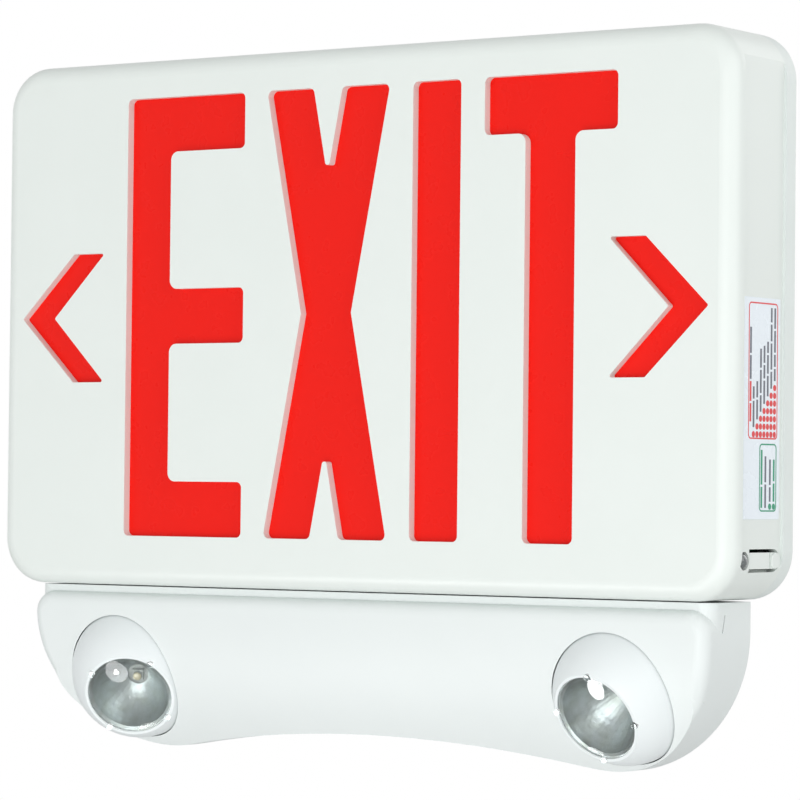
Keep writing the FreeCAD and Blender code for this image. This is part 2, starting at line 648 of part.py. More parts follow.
# ------------------------------------------------------------------ electronics on the back plate
def board_posts():
    """Places of the charger board's four posts."""
    x = CHARGER_WIDTH / 2 - POST_RADIUS - 1
    z = CHARGER_HEIGHT / 2 - POST_RADIUS - 1
    return [(sx * x, CHARGER_CENTRE_Z + sz * z) for sx in (-1, 1) for sz in (-1, 1)]


BOARD_BACK = -BACK_WALL - POST_HEIGHT
BOARD_FACE = BOARD_BACK - CHARGER_THICKNESS


def charger_board():
    """Charger circuit board on its posts."""
    board = slab(CHARGER_WIDTH / 2, CHARGER_HEIGHT / 2, 1.5, BOARD_FACE, BOARD_BACK, centre_z=CHARGER_CENTRE_Z)
    for x, z in board_posts():
        board = board.cut(rod_y(x, z, SCREW_SHANK + SCREW_CLEARANCE, BOARD_FACE - 1, BOARD_BACK + 1))
    return board


def board_screws():
    """Four short screws that hold the charger board on its posts."""
    return Part.makeCompound([pan_screw(V(x, BOARD_FACE, z), ALONG_Y, POST_HEIGHT) for x, z in board_posts()])


def transformer():
    """Laminated core with its coil."""
    x = TRANSFORMER_X
    z = CHARGER_CENTRE_Z
    half_x = CORE_WIDTH / 2
    half_z = CORE_HEIGHT / 2
    core = block(x - half_x, x + half_x, BOARD_FACE - CORE_TOP, BOARD_FACE - CORE_FOOT, z - half_z, z + half_z)
    coil = slab(COIL_WIDTH / 2, COIL_HEIGHT / 2, COIL_ROUND, BOARD_FACE - COIL_TOP, BOARD_FACE,
                centre_x=x, centre_z=z)
    return core.fuse(coil).removeSplitter()


def relay():
    """Sealed transfer relay."""
    width, depth, height = RELAY_SIZE
    top = CHARGER_CENTRE_Z - RELAY_DROP
    case = block(RELAY_X - width / 2, RELAY_X + width / 2, BOARD_FACE - depth, BOARD_FACE, top - height, top)
    return round_edges(case, RELAY_ROUND, at_plane_y(BOARD_FACE - depth))


def capacitors():
    """Three electrolytic cans standing on the board."""
    cans = []
    for x, radius, height in CAPACITORS:
        can = rod_y(x, CHARGER_CENTRE_Z + CAPACITOR_RISE, radius, BOARD_FACE - height, BOARD_FACE)
        cans.append(round_edges(can, CAPACITOR_ROUND, at_plane_y(BOARD_FACE - height)))
    return Part.makeCompound(cans)


def terminal_block():
    """Three-way screw terminal for the supply leads."""
    width, depth, height = TERMINAL_SIZE
    low = CHARGER_CENTRE_Z - TERMINAL_DROP
    body = block(TERMINAL_X - width / 2, TERMINAL_X + width / 2, BOARD_FACE - depth, BOARD_FACE, low, low + height)
    half = TERMINAL_WAY / 2
    for way in (-1, 0, 1):
        x = TERMINAL_X + way * TERMINAL_PITCH
        body = body.cut(rod_y(x, low + height / 2, TERMINAL_SCREW, BOARD_FACE - depth - 1,
                              BOARD_FACE - depth + TERMINAL_SINK))
        body = body.cut(block(x - half, x + half, BOARD_FACE - TERMINAL_LIFT - TERMINAL_WAY,
                              BOARD_FACE - TERMINAL_LIFT, low - 1, low + height * 0.3))
    return body


def battery_pack():
    """Shrink-wrapped row of cells lying against the back plate."""
    centre_x, centre_z = BATTERY_CENTRE
    radius = CELL_DIAMETER / 2
    y = -BACK_WALL - radius
    pack = None
    for index in range(CELL_COUNT):
        x = centre_x + (index - (CELL_COUNT - 1) / 2) * CELL_DIAMETER
        cell = Part.makeCylinder(radius, CELL_LENGTH, V(x, y, centre_z - CELL_LENGTH / 2))
        pack = cell if pack is None else pack.fuse(cell)
    half = (CELL_COUNT - 1) / 2 * CELL_DIAMETER
    core = block(centre_x - half, centre_x + half, y - radius * 0.8, y + radius * 0.8,
                 centre_z - CELL_LENGTH / 2, centre_z + CELL_LENGTH / 2)
    return pack.fuse(core).removeSplitter()


def strap_feet():
    """Places of the battery strap's two screws."""
    centre_x, centre_z = BATTERY_CENTRE
    reach = CELL_COUNT * CELL_DIAMETER / 2 + FIT + STRAP_THICKNESS + STRAP_FOOT / 2
    return [(centre_x - reach, centre_z), (centre_x + reach, centre_z)]


def battery_strap():
    """Bent metal strap over the battery, with a screwed foot at each end."""
    centre_x, centre_z = BATTERY_CENTRE
    half = CELL_COUNT * CELL_DIAMETER / 2 + FIT
    top = -BACK_WALL - CELL_DIAMETER - FIT
    low_z = centre_z - STRAP_WIDTH / 2
    high_z = centre_z + STRAP_WIDTH / 2
    hat = block(centre_x - half - STRAP_THICKNESS, centre_x + half + STRAP_THICKNESS,
                top - STRAP_THICKNESS, -BACK_WALL, low_z, high_z)
    hat = hat.cut(block(centre_x - half, centre_x + half, top, 1, low_z - 1, high_z + 1))
    for x, z in strap_feet():
        foot = block(x - STRAP_FOOT / 2, x + STRAP_FOOT / 2, -BACK_WALL - STRAP_THICKNESS, -BACK_WALL,
                     low_z, high_z)
        hat = hat.fuse(foot).cut(rod_y(x, z, SCREW_SHANK + SCREW_CLEARANCE, -BACK_WALL - 2, 1))
    return hat.removeSplitter()


def strap_screws():
    """Two short screws through the strap's feet."""
    return Part.makeCompound([pan_screw(V(x, -BACK_WALL - STRAP_THICKNESS, z), ALONG_Y, BACK_WALL)
                              for x, z in strap_feet()])


# ------------------------------------------------------------------ test button, switch, status lamp, label
def test_button():
    """Sprung tab in the side strip with a raised round pad and a nub behind it."""
    root = FRONT + TAB_ROOT
    end = FRONT + TAB_END
    half = TAB_HEIGHT / 2
    inner = STRIP_X - TAB_THICKNESS
    tab = block(inner, STRIP_X, root, end - half, BUTTON_Z - half, BUTTON_Z + half)
    tab = tab.fuse(Part.makeCylinder(half, TAB_THICKNESS, V(inner, PAD_Y, BUTTON_Z), V(1, 0, 0)))
    groove = block(STRIP_X - GROOVE_DEPTH, STRIP_X + 1, PAD_Y - half - GROOVE_WIDTH, PAD_Y - half,
                   BUTTON_Z - half - 1, BUTTON_Z + half + 1)
    pad = Part.makeCylinder(half, PAD_RAISE, V(STRIP_X, PAD_Y, BUTTON_Z), V(1, 0, 0))
    pad = round_edges(pad, PAD_RAISE * 0.6, lambda edge: abs(edge.CenterOfMass.x - STRIP_X - PAD_RAISE) < 1e-4)
    nub = Part.makeCylinder(NUB_RADIUS, NUB_LENGTH, V(inner - NUB_LENGTH, PAD_Y, BUTTON_Z), V(1, 0, 0))
    return tab.cut(groove).fuse(pad).fuse(nub).removeSplitter()


def test_board():
    """Small circuit board on edge behind the side strip."""
    return block(TEST_BOARD_X, TEST_BOARD_X + BOARD_THICKNESS,
                 FRONT + TEST_BOARD_FRONT, COVER_BACK - TEST_BOARD_BACK_GAP,
                 BUTTON_Z - TEST_BOARD_HEIGHT / 2, BUTTON_Z + TEST_BOARD_HEIGHT / 2)


def test_switch():
    """Tactile switch under the button's nub."""
    face = TEST_BOARD_X + BOARD_THICKNESS
    half = SWITCH_BODY / 2
    body = block(face, face + SWITCH_HEIGHT, PAD_Y - half, PAD_Y + half, BUTTON_Z - half, BUTTON_Z + half)
    plunger = Part.makeCylinder(PLUNGER_RADIUS, PLUNGER_HEIGHT, V(face + SWITCH_HEIGHT, PAD_Y, BUTTON_Z), V(1, 0, 0))
    return body.fuse(plunger).removeSplitter()


def status_led():
    """Round status lamp that stands just proud of the side strip."""
    face = TEST_BOARD_X + BOARD_THICKNESS
    tip = STRIP_X + STATUS_LED_PROUD
    length = tip - STATUS_LED_RADIUS - face
    body = Part.makeCylinder(STATUS_LED_RADIUS, length, V(face, STATUS_LED_Y, BUTTON_Z), V(1, 0, 0))
    dome = Part.makeSphere(STATUS_LED_RADIUS, V(face + length, STATUS_LED_Y, BUTTON_Z))
    return body.fuse(dome).removeSplitter()


def status_label():
    """Thin printed label on the side strip."""
    return block(STRIP_X, STRIP_X + LABEL_THICKNESS, FRONT + LABEL_FRONT, FRONT + LABEL_BACK,
                 LABEL_BOTTOM, LABEL_BOTTOM + LABEL_LENGTH)


# ------------------------------------------------------------------ lamp base
def base_outline(inset=0.0, top=BASE_TOP, top_round=0.0):
    """Front view of the base: straight top and sides, big lower corners, arched bottom edge."""
    half = BASE_WIDTH / 2 - inset
    corner = V(CORNER_X, 0, CORNER_Z)
    radius = BASE_CORNER - inset
    drop = CORNER_Z - (BASE_BOTTOM + ARCH_RISE)
    arch = (CORNER_X ** 2 + drop ** 2 - BASE_CORNER ** 2) / (2 * (BASE_CORNER - drop)) + inset
    centre = V(0, 0, BASE_BOTTOM + ARCH_RISE - arch + inset)
    return outline_with_arch(half, top - inset, top_round, corner, radius, centre, arch)


def outline_with_arch(half, top, top_round, corner, radius, centre, arch):
    """Symmetric closed wire from its half width, top, lower corner circles and bottom arch."""
    join = centre + (corner - centre) * (arch / (arch + radius))
    angle = math.atan2(join.z - corner.z, join.x - corner.x) / 2
    bend = corner + V(math.cos(angle), 0, math.sin(angle)) * radius
    side = V(half, 0, corner.z)
    shoulder = V(half, 0, top - top_round)
    crown = V(half - top_round, 0, top)
    edges = [Part.makeLine(flip(crown), crown)]
    if top_round > 0:
        turn = top_round * (1 - math.sqrt(0.5))
        knee = V(half - turn, 0, top - turn)
        edges.append(Part.Arc(crown, knee, shoulder).toShape())
    edges.append(Part.makeLine(shoulder, side))
    edges.append(Part.Arc(side, bend, join).toShape())
    edges.append(Part.Arc(join, centre + V(0, 0, arch), flip(join)).toShape())
    edges.append(Part.Arc(flip(join), flip(bend), flip(side)).toShape())
    edges.append(Part.makeLine(flip(side), flip(shoulder)))
    if top_round > 0:
        edges.append(Part.Arc(flip(shoulder), flip(knee), flip(crown)).toShape())
    return Part.Wire(edges)


def flip(point):
    """Mirror image of a point in the plane x = 0."""
    return V(-point.x, 0, point.z)


def side_profile(front, top, inset=0.0):
    """Block across the base with a flat front that the bulge's curve cuts back lower down."""
    length = BASE_WIDTH + 20
    curve = Part.makeCylinder(BULGE_CURVE - inset, length, V(-length / 2, CURVE_Y, CURVE_TOP), V(1, 0, 0))
    lower = block(-length / 2, length / 2, front, 1, BASE_BOTTOM - 1, CURVE_TOP).common(curve)
    upper = block(-length / 2, length / 2, front, 1, CURVE_TOP, top)
    return lower.fuse(upper)


def base_form(inset=0.0, rounded=True):
    """Outer form of the base, or the same form inset all round."""
    back = BASE_BACK if inset == 0 else 1
    rim = prism(base_outline(inset), RIM_FRONT + inset, back)
    rim = rim.common(side_profile(RIM_FRONT + inset, BASE_TOP + 1, inset))
    bulge = prism(base_outline(inset, BULGE_TOP, max(BULGE_CORNER - inset, 1)), BULGE_FRONT - 1, back)
    bulge = bulge.common(side_profile(BULGE_FRONT + inset, BASE_TOP + 1, inset))
    if rounded:
        rim = round_edges(rim, RIM_ROUND, on_rim_corner)
        bulge = round_edges(bulge, BULGE_ROUND, on_bulge_front)
    return rim.fuse(bulge).removeSplitter()


def on_rim_corner(edge):
    """Test for the rim's two front vertical edges."""
    box = edge.BoundBox
    return (box.YLength < 1e-3 and abs(box.YMin - RIM_FRONT) < 1e-3
            and box.XLength < 1e-3 and abs(abs(box.XMin) - BASE_WIDTH / 2) < 1e-3)


def on_bulge_front(edge):
    """Test for the edge that runs round the bulge's front."""
    middle = edge.valueAt((edge.FirstParameter + edge.LastParameter) / 2)
    on_top = abs(middle.y - BULGE_FRONT) < 1e-3 and middle.z > CURVE_TOP
    on_curve = abs(math.hypot(middle.y - CURVE_Y, middle.z - CURVE_TOP) - BULGE_CURVE) < 1e-3
    on_front = on_top or (on_curve and middle.z <= CURVE_TOP)
    inside = abs(middle.x) < BASE_WIDTH / 2 - 0.5 and middle.z < BULGE_TOP - 0.01 and is_flat_join(edge)
    return on_front and not inside


def is_flat_join(edge):
    """Straight edge along x where the flat front meets the curve."""
    box = edge.BoundBox
    return box.ZLength < 1e-3 and abs(box.ZMin - CURVE_TOP) < 1e-3


def tray_outline(inset=0.0):
    """Front view of the tray, which steps in from the base's outline."""
    bottom = BASE_BOTTOM + TRAY_LIFT
    corner = V(TRAY_WIDTH / 2 - TRAY_CORNER, 0, bottom + TRAY_CORNER)
    radius = TRAY_CORNER - inset
    rise = corner.z - (bottom + ARCH_RISE)
    arch = (corner.x ** 2 + rise ** 2 - TRAY_CORNER ** 2) / (2 * (TRAY_CORNER - rise)) + inset
    centre = V(0, 0, bottom + ARCH_RISE - arch + inset)
    return outline_with_arch(TRAY_WIDTH / 2 - inset, BASE_TOP - TRAY_DROP - inset, 0, corner, radius, centre, arch)


def head_centre(side):
    """Centre of an eyeball."""
    return V(side * HEAD_X, BALL_Y, BALL_Z)


def base_screw_places():
    """Places of the screws that join tray and base."""
    return [(sx * x, BASE_TOP - down) for x, down in BASE_SCREWS for sx in (-1, 1)]


def lamp_housing():
    """Base moulding: bulged front with two round sockets, open at the back."""
    outer = base_form()
    inner = base_form(BASE_WALL, False)
    shell = outer.cut(inner)
    for x, z in base_screw_places():
        boss, pilot = screw_boss(x, z, BULGE_FRONT, BASE_BACK - TRAY_FLANGE)
        shell = shell.fuse(boss.common(outer)).cut(pilot)
    pad_x, pad_y = NECK_PAD
    pad = block(-pad_x / 2, pad_x / 2, -NECK_DEPTH - pad_y / 2, -NECK_DEPTH + pad_y / 2, BASE_TOP - 1, SIGN_BOTTOM)
    shell = shell.fuse(pad)
    for x in (-NECK_SCREW_X, NECK_SCREW_X):
        shell = shell.cut(Part.makeCylinder(SCREW_SHANK + SCREW_CLEARANCE, 12, V(x, -NECK_DEPTH, BASE_TOP - 6)))
    shell = shell.cut(Part.makeCylinder(WIRE_HOLE_RADIUS, 12, V(0, -NECK_DEPTH, BASE_TOP - 6)))
    for side in (-1, 1):
        shell = shell.cut(Part.makeSphere(BALL_RADIUS + SOCKET_GAP, head_centre(side)))
    return shell.cut(side_slit()).removeSplitter()


def side_slit():
    """Short leaning slit sunk in the base's right side, over the snap that grips the tray."""
    slit = block(-SLIT_DEPTH, SLIT_DEPTH, -SLIT_WIDTH / 2, SLIT_WIDTH / 2, -SLIT_LENGTH / 2, SLIT_LENGTH / 2)
    middle = V(BASE_WIDTH / 2, FRONT + SLIT_SETBACK, BASE_TOP - SLIT_DROP)
    slit.Placement = FreeCAD.Placement(middle, FreeCAD.Rotation(V(1, 0, 0), -SLIT_TILT))
    return slit


def neck_screws():
    """Two screws up from the base into the sign."""
    return Part.makeCompound([pan_screw(V(x, -NECK_DEPTH, BASE_TOP - BASE_WALL), V(0, 0, 1), SCREW_LENGTH)
                              for x in (-NECK_SCREW_X, NECK_SCREW_X)])


def lamp_housing_back():
    """Tray that closes the base, with screw wells and the two pivot bosses."""
    flange = prism(base_outline(BASE_WALL + FIT), BASE_BACK - TRAY_FLANGE, BASE_BACK)
    dish = prism(tray_outline(), BASE_BACK, 0)
    hollow = prism(tray_outline(TRAY_WALL), BASE_BACK - TRAY_FLANGE - 1, -TRAY_WALL)
    tray = flange.fuse(dish).cut(hollow)
    envelope = prism(tray_outline(), FRONT, 0)
    for side in (-1, 1):
        tray = tray.cut(Part.makeSphere(BALL_RADIUS + SOCKET_GAP, head_centre(side)))
    for x, z in base_screw_places():
        post, holes = screw_well(x, z, BASE_BACK - TRAY_FLANGE + BACK_WALL)
        tray = tray.fuse(post).cut(holes)
    for side in (-1, 1):
        start = head_centre(side) - SOCKET_AXIS * (BRIDGE_BACK + WASHER_THICKNESS + END_PLAY)
        boss = Part.makeCylinder(PIVOT_BOSS_RADIUS, 40, start, SOCKET_AXIS * -1).common(envelope)
        pilot = Part.makeCylinder(PIVOT_THREAD, PIVOT_THREAD_LENGTH, start, SOCKET_AXIS * -1)
        tray = tray.fuse(boss).cut(pilot)
    return tray.removeSplitter()


def base_back_screws():
    """Screws through the tray's wells into the base."""
    seat = BASE_BACK - TRAY_FLANGE + BACK_WALL
    return Part.makeCompound([pan_screw(V(x, seat, z), V(0, -1, 0)) for x, z in base_screw_places()])


# ------------------------------------------------------------------ eyeball heads
def ring(radius_out, radius_in, z_from, z_to):
    """Ring about the local z axis."""
    outer = Part.makeCylinder(radius_out, z_to - z_from, V(0, 0, z_from))
    return outer.cut(Part.makeCylinder(radius_in, z_to - z_from + 2, V(0, 0, z_from - 1)))


def lens_tabs(clearance=0.0):
    """Four small locating tabs on the lens edge, in the head's own frame."""
    radius = LENS_TAB_RADIUS + clearance
    low = BALL_FRONT - LENS_TAB_RISE - clearance
    tabs = None
    for quarter in range(4):
        angle = math.radians(LENS_TAB_ANGLE + 90 * quarter)
        reach = LENS_RADIUS + LENS_TAB_RADIUS * 0.4
        tab = Part.makeCylinder(radius, 2 * LENS_TAB_RISE + clearance * 2,
                                V(reach * math.cos(angle), reach * math.sin(angle), low))
        tabs = tab if tabs is None else tabs.fuse(tab)
    return tabs


def ball_shell():
    """Hollow eyeball, open at the back, with the lens seat and two trunnion bosses."""
    inner_radius = BALL_RADIUS - BALL_WALL
    seat = BALL_FRONT - LENS_SEAT_DEPTH
    shoulder = seat - LENS_SHOULDER
    wide = Part.makeCylinder(BALL_RADIUS + 1, BALL_FRONT + BALL_BACK, V(0, 0, -BALL_BACK))
    ball = Part.makeSphere(BALL_RADIUS).common(wide)
    hollow = Part.makeSphere(inner_radius).common(
        Part.makeCylinder(BALL_RADIUS, shoulder + BALL_BACK + 1, V(0, 0, -BALL_BACK - 1)))
    ball = ball.cut(hollow)
    ball = ball.cut(Part.makeCylinder(REFLECTOR_MOUTH + REFLECTOR_WALL + FIT, BALL_FRONT, V(0, 0, shoulder - 1)))
    ball = ball.cut(Part.makeCylinder(LENS_RADIUS + LENS_FIT, BALL_FRONT, V(0, 0, seat)))
    for side in (-1, 1):
        boss = Part.makeCylinder(ARM_WIDTH / 2, BALL_RADIUS - ARM_REACH - ARM_CLEARANCE,
                                 V(side * (ARM_REACH + ARM_CLEARANCE), 0, 0), V(side, 0, 0))
        ball = ball.fuse(boss.common(Part.makeSphere(BALL_RADIUS)).common(wide))
    ball = ball.cut(Part.makeCylinder(PIN_RADIUS, 3 * BALL_RADIUS, V(-1.5 * BALL_RADIUS, 0, 0), V(1, 0, 0)))
    return ball.cut(lens_tabs(LENS_FIT)).removeSplitter()


def lens():
    """Clear crowned cover with four locating tabs."""
    low = BALL_FRONT - LENS_SEAT_DEPTH + REFLECTOR_FLANGE
    disc = Part.makeCylinder(LENS_RADIUS, LENS_EDGE, V(0, 0, low))
    crown_radius = (LENS_RADIUS ** 2 + LENS_CROWN ** 2) / (2 * LENS_CROWN)
    crown = Part.makeSphere(crown_radius, V(0, 0, low + LENS_EDGE + LENS_CROWN - crown_radius))
    crown = crown.common(Part.makeCylinder(LENS_RADIUS, LENS_CROWN + 1, V(0, 0, low + LENS_EDGE)))
    return disc.fuse(crown).fuse(lens_tabs()).removeSplitter()


def reflector():
    """Parabolic bowl with a thin flange under the lens."""
    rim = BALL_FRONT - LENS_SEAT_DEPTH + REFLECTOR_FLANGE
    throat = SPREADER_FRONT + BOARD_THICKNESS + EMITTER_HEIGHT * 0.5
    steepness = (REFLECTOR_MOUTH ** 2 - REFLECTOR_THROAT ** 2) / (rim - throat)
    steps = 10
    inside = []
    for step in range(steps + 1):
        radius = REFLECTOR_THROAT + (REFLECTOR_MOUTH - REFLECTOR_THROAT) * step / steps
        inside.append(V(radius, 0, throat + (radius ** 2 - REFLECTOR_THROAT ** 2) / steepness))
    outside = [point + V(REFLECTOR_WALL, 0, 0) for point in reversed(inside)]
    inner_curve = Part.BSplineCurve()
    inner_curve.interpolate(inside)
    outer_curve = Part.BSplineCurve()
    outer_curve.interpolate(outside)
    outline = Part.Wire([inner_curve.toShape(), Part.makeLine(inside[-1], outside[0]),
                         outer_curve.toShape(), Part.makeLine(outside[-1], inside[0])])
    bowl = Part.Face(outline).revolve(V(0, 0, 0), V(0, 0, 1), 360)
    flange = ring(LENS_RADIUS, REFLECTOR_MOUTH + REFLECTOR_WALL / 2, rim - REFLECTOR_FLANGE, rim)
    return bowl.fuse(flange).removeSplitter()


def heat_spreader():
    """Metal disc across the ball that carries the lamp board, notched for the yoke's arms."""
    radius = math.sqrt((BALL_RADIUS - BALL_WALL) ** 2 - SPREADER_FRONT ** 2) - SPREADER_FIT
    disc = Part.makeCylinder(radius, SPREADER_THICKNESS, V(0, 0, SPREADER_FRONT - SPREADER_THICKNESS))
    for side in (-1, 1):
        reach = ARM_REACH - ARM_THICKNESS - ARM_CLEARANCE
        near = side * reach
        far = side * (BALL_RADIUS + 1)
        disc = disc.cut(Part.makeBox(abs(far - near), ARM_WIDTH + 2 * ARM_CLEARANCE + 1, 2 * BALL_RADIUS,
                                     V(min(near, far), -ARM_WIDTH / 2 - ARM_CLEARANCE - 0.5, -BALL_RADIUS)))
    return disc.removeSplitter()


def lamp_board():
    """Round metal-core board with its emitter and dome."""
    board = Part.makeCylinder(LED_BOARD_RADIUS, BOARD_THICKNESS, V(0, 0, SPREADER_FRONT))
    for quarter in range(4):
        angle = math.radians(90 * quarter + 45)
        board = board.cut(Part.makeCylinder(1.3, 4, V(LED_BOARD_RADIUS * math.cos(angle),
                                                     LED_BOARD_RADIUS * math.sin(angle), SPREADER_FRONT - 1)))
    face = SPREADER_FRONT + BOARD_THICKNESS
    half = EMITTER_SIZE / 2
    package = Part.makeBox(EMITTER_SIZE, EMITTER_SIZE, EMITTER_HEIGHT, V(-half, -half, face))
    dome = Part.makeSphere(half * 0.85, V(0, 0, face + EMITTER_HEIGHT)).common(
        Part.makeCylinder(half, half, V(0, 0, face + EMITTER_HEIGHT * 0.5)))
    return board.fuse(package).fuse(dome).removeSplitter()


def trunnion_pins():
    """Two pins pressed into the ball, which turn in the yoke's arms."""
    pins = []
    start = ARM_REACH - ARM_THICKNESS - ARM_CLEARANCE
    length = BALL_RADIUS - 0.3 - start
    for side in (-1, 1):
        pins.append(Part.makeCylinder(PIN_RADIUS, length, V(side * start, 0, 0), V(side, 0, 0)))
    return Part.makeCompound(pins)


def yoke():
    """U-shaped bracket that turns on the pivot screw and carries the ball between its arms."""
    half = ARM_WIDTH / 2
    arms = None
    for side in (-1, 1):
        outside = side * ARM_REACH
        inside = side * (ARM_REACH - ARM_THICKNESS)
        low_x = min(outside, inside)
        arm = Part.makeBox(ARM_THICKNESS, ARM_WIDTH, BRIDGE_BACK, V(low_x, -half, -BRIDGE_BACK))
        arm = arm.fuse(Part.makeCylinder(half, ARM_THICKNESS, V(low_x, 0, 0), V(1, 0, 0)))
        arms = arm if arms is None else arms.fuse(arm)
    bridge = Part.makeBox(2 * ARM_REACH, ARM_WIDTH, BRIDGE_THICKNESS, V(-ARM_REACH, -half, -BRIDGE_BACK))
    hub = Part.makeCylinder(WASHER_RADIUS, BRIDGE_THICKNESS, V(0, 0, -BRIDGE_BACK))
    body = arms.fuse(bridge).fuse(hub)
    body = body.cut(Part.makeCylinder(PIN_RADIUS + PIN_RUNNING, 3 * BALL_RADIUS,
                                      V(-1.5 * BALL_RADIUS, 0, 0), V(1, 0, 0)))
    body = body.cut(Part.makeCylinder(PIVOT_RADIUS + PIN_RUNNING, 3 * BRIDGE_BACK, V(0, 0, -2 * BRIDGE_BACK)))
    return body.removeSplitter()


def pivot_screw():
    """Shouldered screw on the socket axis that the yoke turns on."""
    top = -BRIDGE_BACK + BRIDGE_THICKNESS + END_PLAY
    bottom = -BRIDGE_BACK - END_PLAY - WASHER_THICKNESS
    head = Part.makeCylinder(PIVOT_HEAD_RADIUS, PIVOT_HEAD, V(0, 0, top))
    head = head.cut(Part.makeBox(2 * PIVOT_HEAD_RADIUS, 1.0, 1.0, V(-PIVOT_HEAD_RADIUS, -0.5, top + PIVOT_HEAD - 0.9)))
    shoulder = Part.makeCylinder(PIVOT_RADIUS, top - bottom, V(0, 0, bottom))
    thread = Part.makeCylinder(PIVOT_THREAD, PIVOT_THREAD_LENGTH - 0.5, V(0, 0, bottom - PIVOT_THREAD_LENGTH + 0.5))
    return head.fuse(shoulder).fuse(thread).removeSplitter()


def friction_washer():
    """Washer between the yoke and the pivot boss that keeps the head where it is aimed."""
    bottom = -BRIDGE_BACK - END_PLAY - WASHER_THICKNESS
    return ring(WASHER_RADIUS, PIVOT_RADIUS + PIN_RUNNING, bottom, bottom + WASHER_THICKNESS)


def head_placements(side, swivel, tilt):
    """Placements of the pieces that swivel and of those that also tilt, at rest."""
    centre = head_centre(side)
    turned = FreeCAD.Rotation(SOCKET_AXIS, swivel)
    trunnion = turned.multVec(V(1, 0, 0))
    tilted = FreeCAD.Rotation(trunnion, tilt)
    return (FreeCAD.Placement(centre, axes_rotation(trunnion, SOCKET_AXIS)),
            FreeCAD.Placement(centre, axes_rotation(trunnion, tilted.multVec(SOCKET_AXIS))))


def axes_rotation(x_axis, z_axis):
    """Rotation that takes the local x and z axes to two given directions."""
    return FreeCAD.Rotation(x_axis, z_axis.cross(x_axis), z_axis, "ZXY")


def placed(shape, placement):
    """Copy of a shape set at a placement."""
    copy = shape.copy()
    copy.Placement = placement
    return copy


def export_head(name, side, swivel, tilt):
    """Write every piece of one head."""
    swivelled, aimed = head_placements(side, swivel, tilt)
    for piece, shape in (("ball", ball_shell()), ("lens", lens()), ("reflector", reflector()),
                         ("heat_spreader", heat_spreader()), ("lamp_board", lamp_board()),
                         ("trunnion_pins", trunnion_pins())):
        export(name + "_" + piece, placed(shape, aimed))
    for piece, shape in (("yoke", yoke()), ("pivot_screw", pivot_screw()), ("friction_washer", friction_washer())):
        export(name + "_" + piece, placed(shape, swivelled))
    print(name, "centre", tuple(round(value, 3) for value in head_centre(side)),
          "socket axis", tuple(round(value, 5) for value in SOCKET_AXIS),
          "trunnion axis", tuple(round(value, 5) for value in swivelled.Rotation.multVec(V(1, 0, 0))))


# ------------------------------------------------------------------ write every piece
def main():
    """Build and write the whole light."""
    os.makedirs("parts", exist_ok=True)
    pieces = [
        front_cover, back_plate, back_screws, legend_panel, light_box, light_box_screws, charger_board,
        board_screws, transformer, relay, capacitors, terminal_block, battery_pack, battery_strap, strap_screws,
        test_button, test_board, test_switch, status_led, status_label, lamp_housing, lamp_housing_back,
        base_back_screws, neck_screws,
    ]
    for piece in pieces:
        export(piece.__name__, piece())
    for name, side in (("upper", 1), ("lower", -1)):
        export(name + "_led_strip", led_strip(side))
        export(name + "_strip_leds", strip_leds(side))
    for name, (side, swivel, tilt) in HEADS.items():
        export_head(name, side, swivel, tilt)


main()
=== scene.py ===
"""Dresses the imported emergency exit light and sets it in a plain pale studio.

Every visible piece gets its finish here. The script also makes what is too fine for the
construction: the print on the side label, the cross recesses of the screws, and the faceted
reflectors, emitters and solder pads behind the lamp heads' clear covers.
"""

import json
import logging
import math
import random
from dataclasses import dataclass, field
from enum import Enum

import bmesh
import bpy
from mathutils import Matrix, Vector


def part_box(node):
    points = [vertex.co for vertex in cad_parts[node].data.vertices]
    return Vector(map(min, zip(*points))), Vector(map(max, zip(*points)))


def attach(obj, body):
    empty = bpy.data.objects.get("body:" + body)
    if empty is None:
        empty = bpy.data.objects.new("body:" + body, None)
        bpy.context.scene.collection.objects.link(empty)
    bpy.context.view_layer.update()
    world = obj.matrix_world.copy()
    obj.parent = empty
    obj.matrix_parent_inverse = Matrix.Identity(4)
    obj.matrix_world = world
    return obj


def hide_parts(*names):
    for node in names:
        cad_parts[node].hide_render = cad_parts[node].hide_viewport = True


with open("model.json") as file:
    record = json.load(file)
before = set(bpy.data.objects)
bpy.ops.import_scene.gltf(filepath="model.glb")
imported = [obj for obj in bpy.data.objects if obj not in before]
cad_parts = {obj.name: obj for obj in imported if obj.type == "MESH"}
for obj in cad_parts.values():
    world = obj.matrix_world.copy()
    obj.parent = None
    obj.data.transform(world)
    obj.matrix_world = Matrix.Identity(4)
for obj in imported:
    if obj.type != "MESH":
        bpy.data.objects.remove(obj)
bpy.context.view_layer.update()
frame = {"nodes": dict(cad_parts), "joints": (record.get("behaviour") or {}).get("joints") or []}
MM = 0.001
PATTERN_LOW, PATTERN_HIGH = 0.3, 0.7    # where most of a noise pattern's values lie
LOG = logging.getLogger("exit_light")

Colour = tuple[float, float, float]
Socket = bpy.types.NodeSocket
Material = bpy.types.Material
Piece = bpy.types.Object


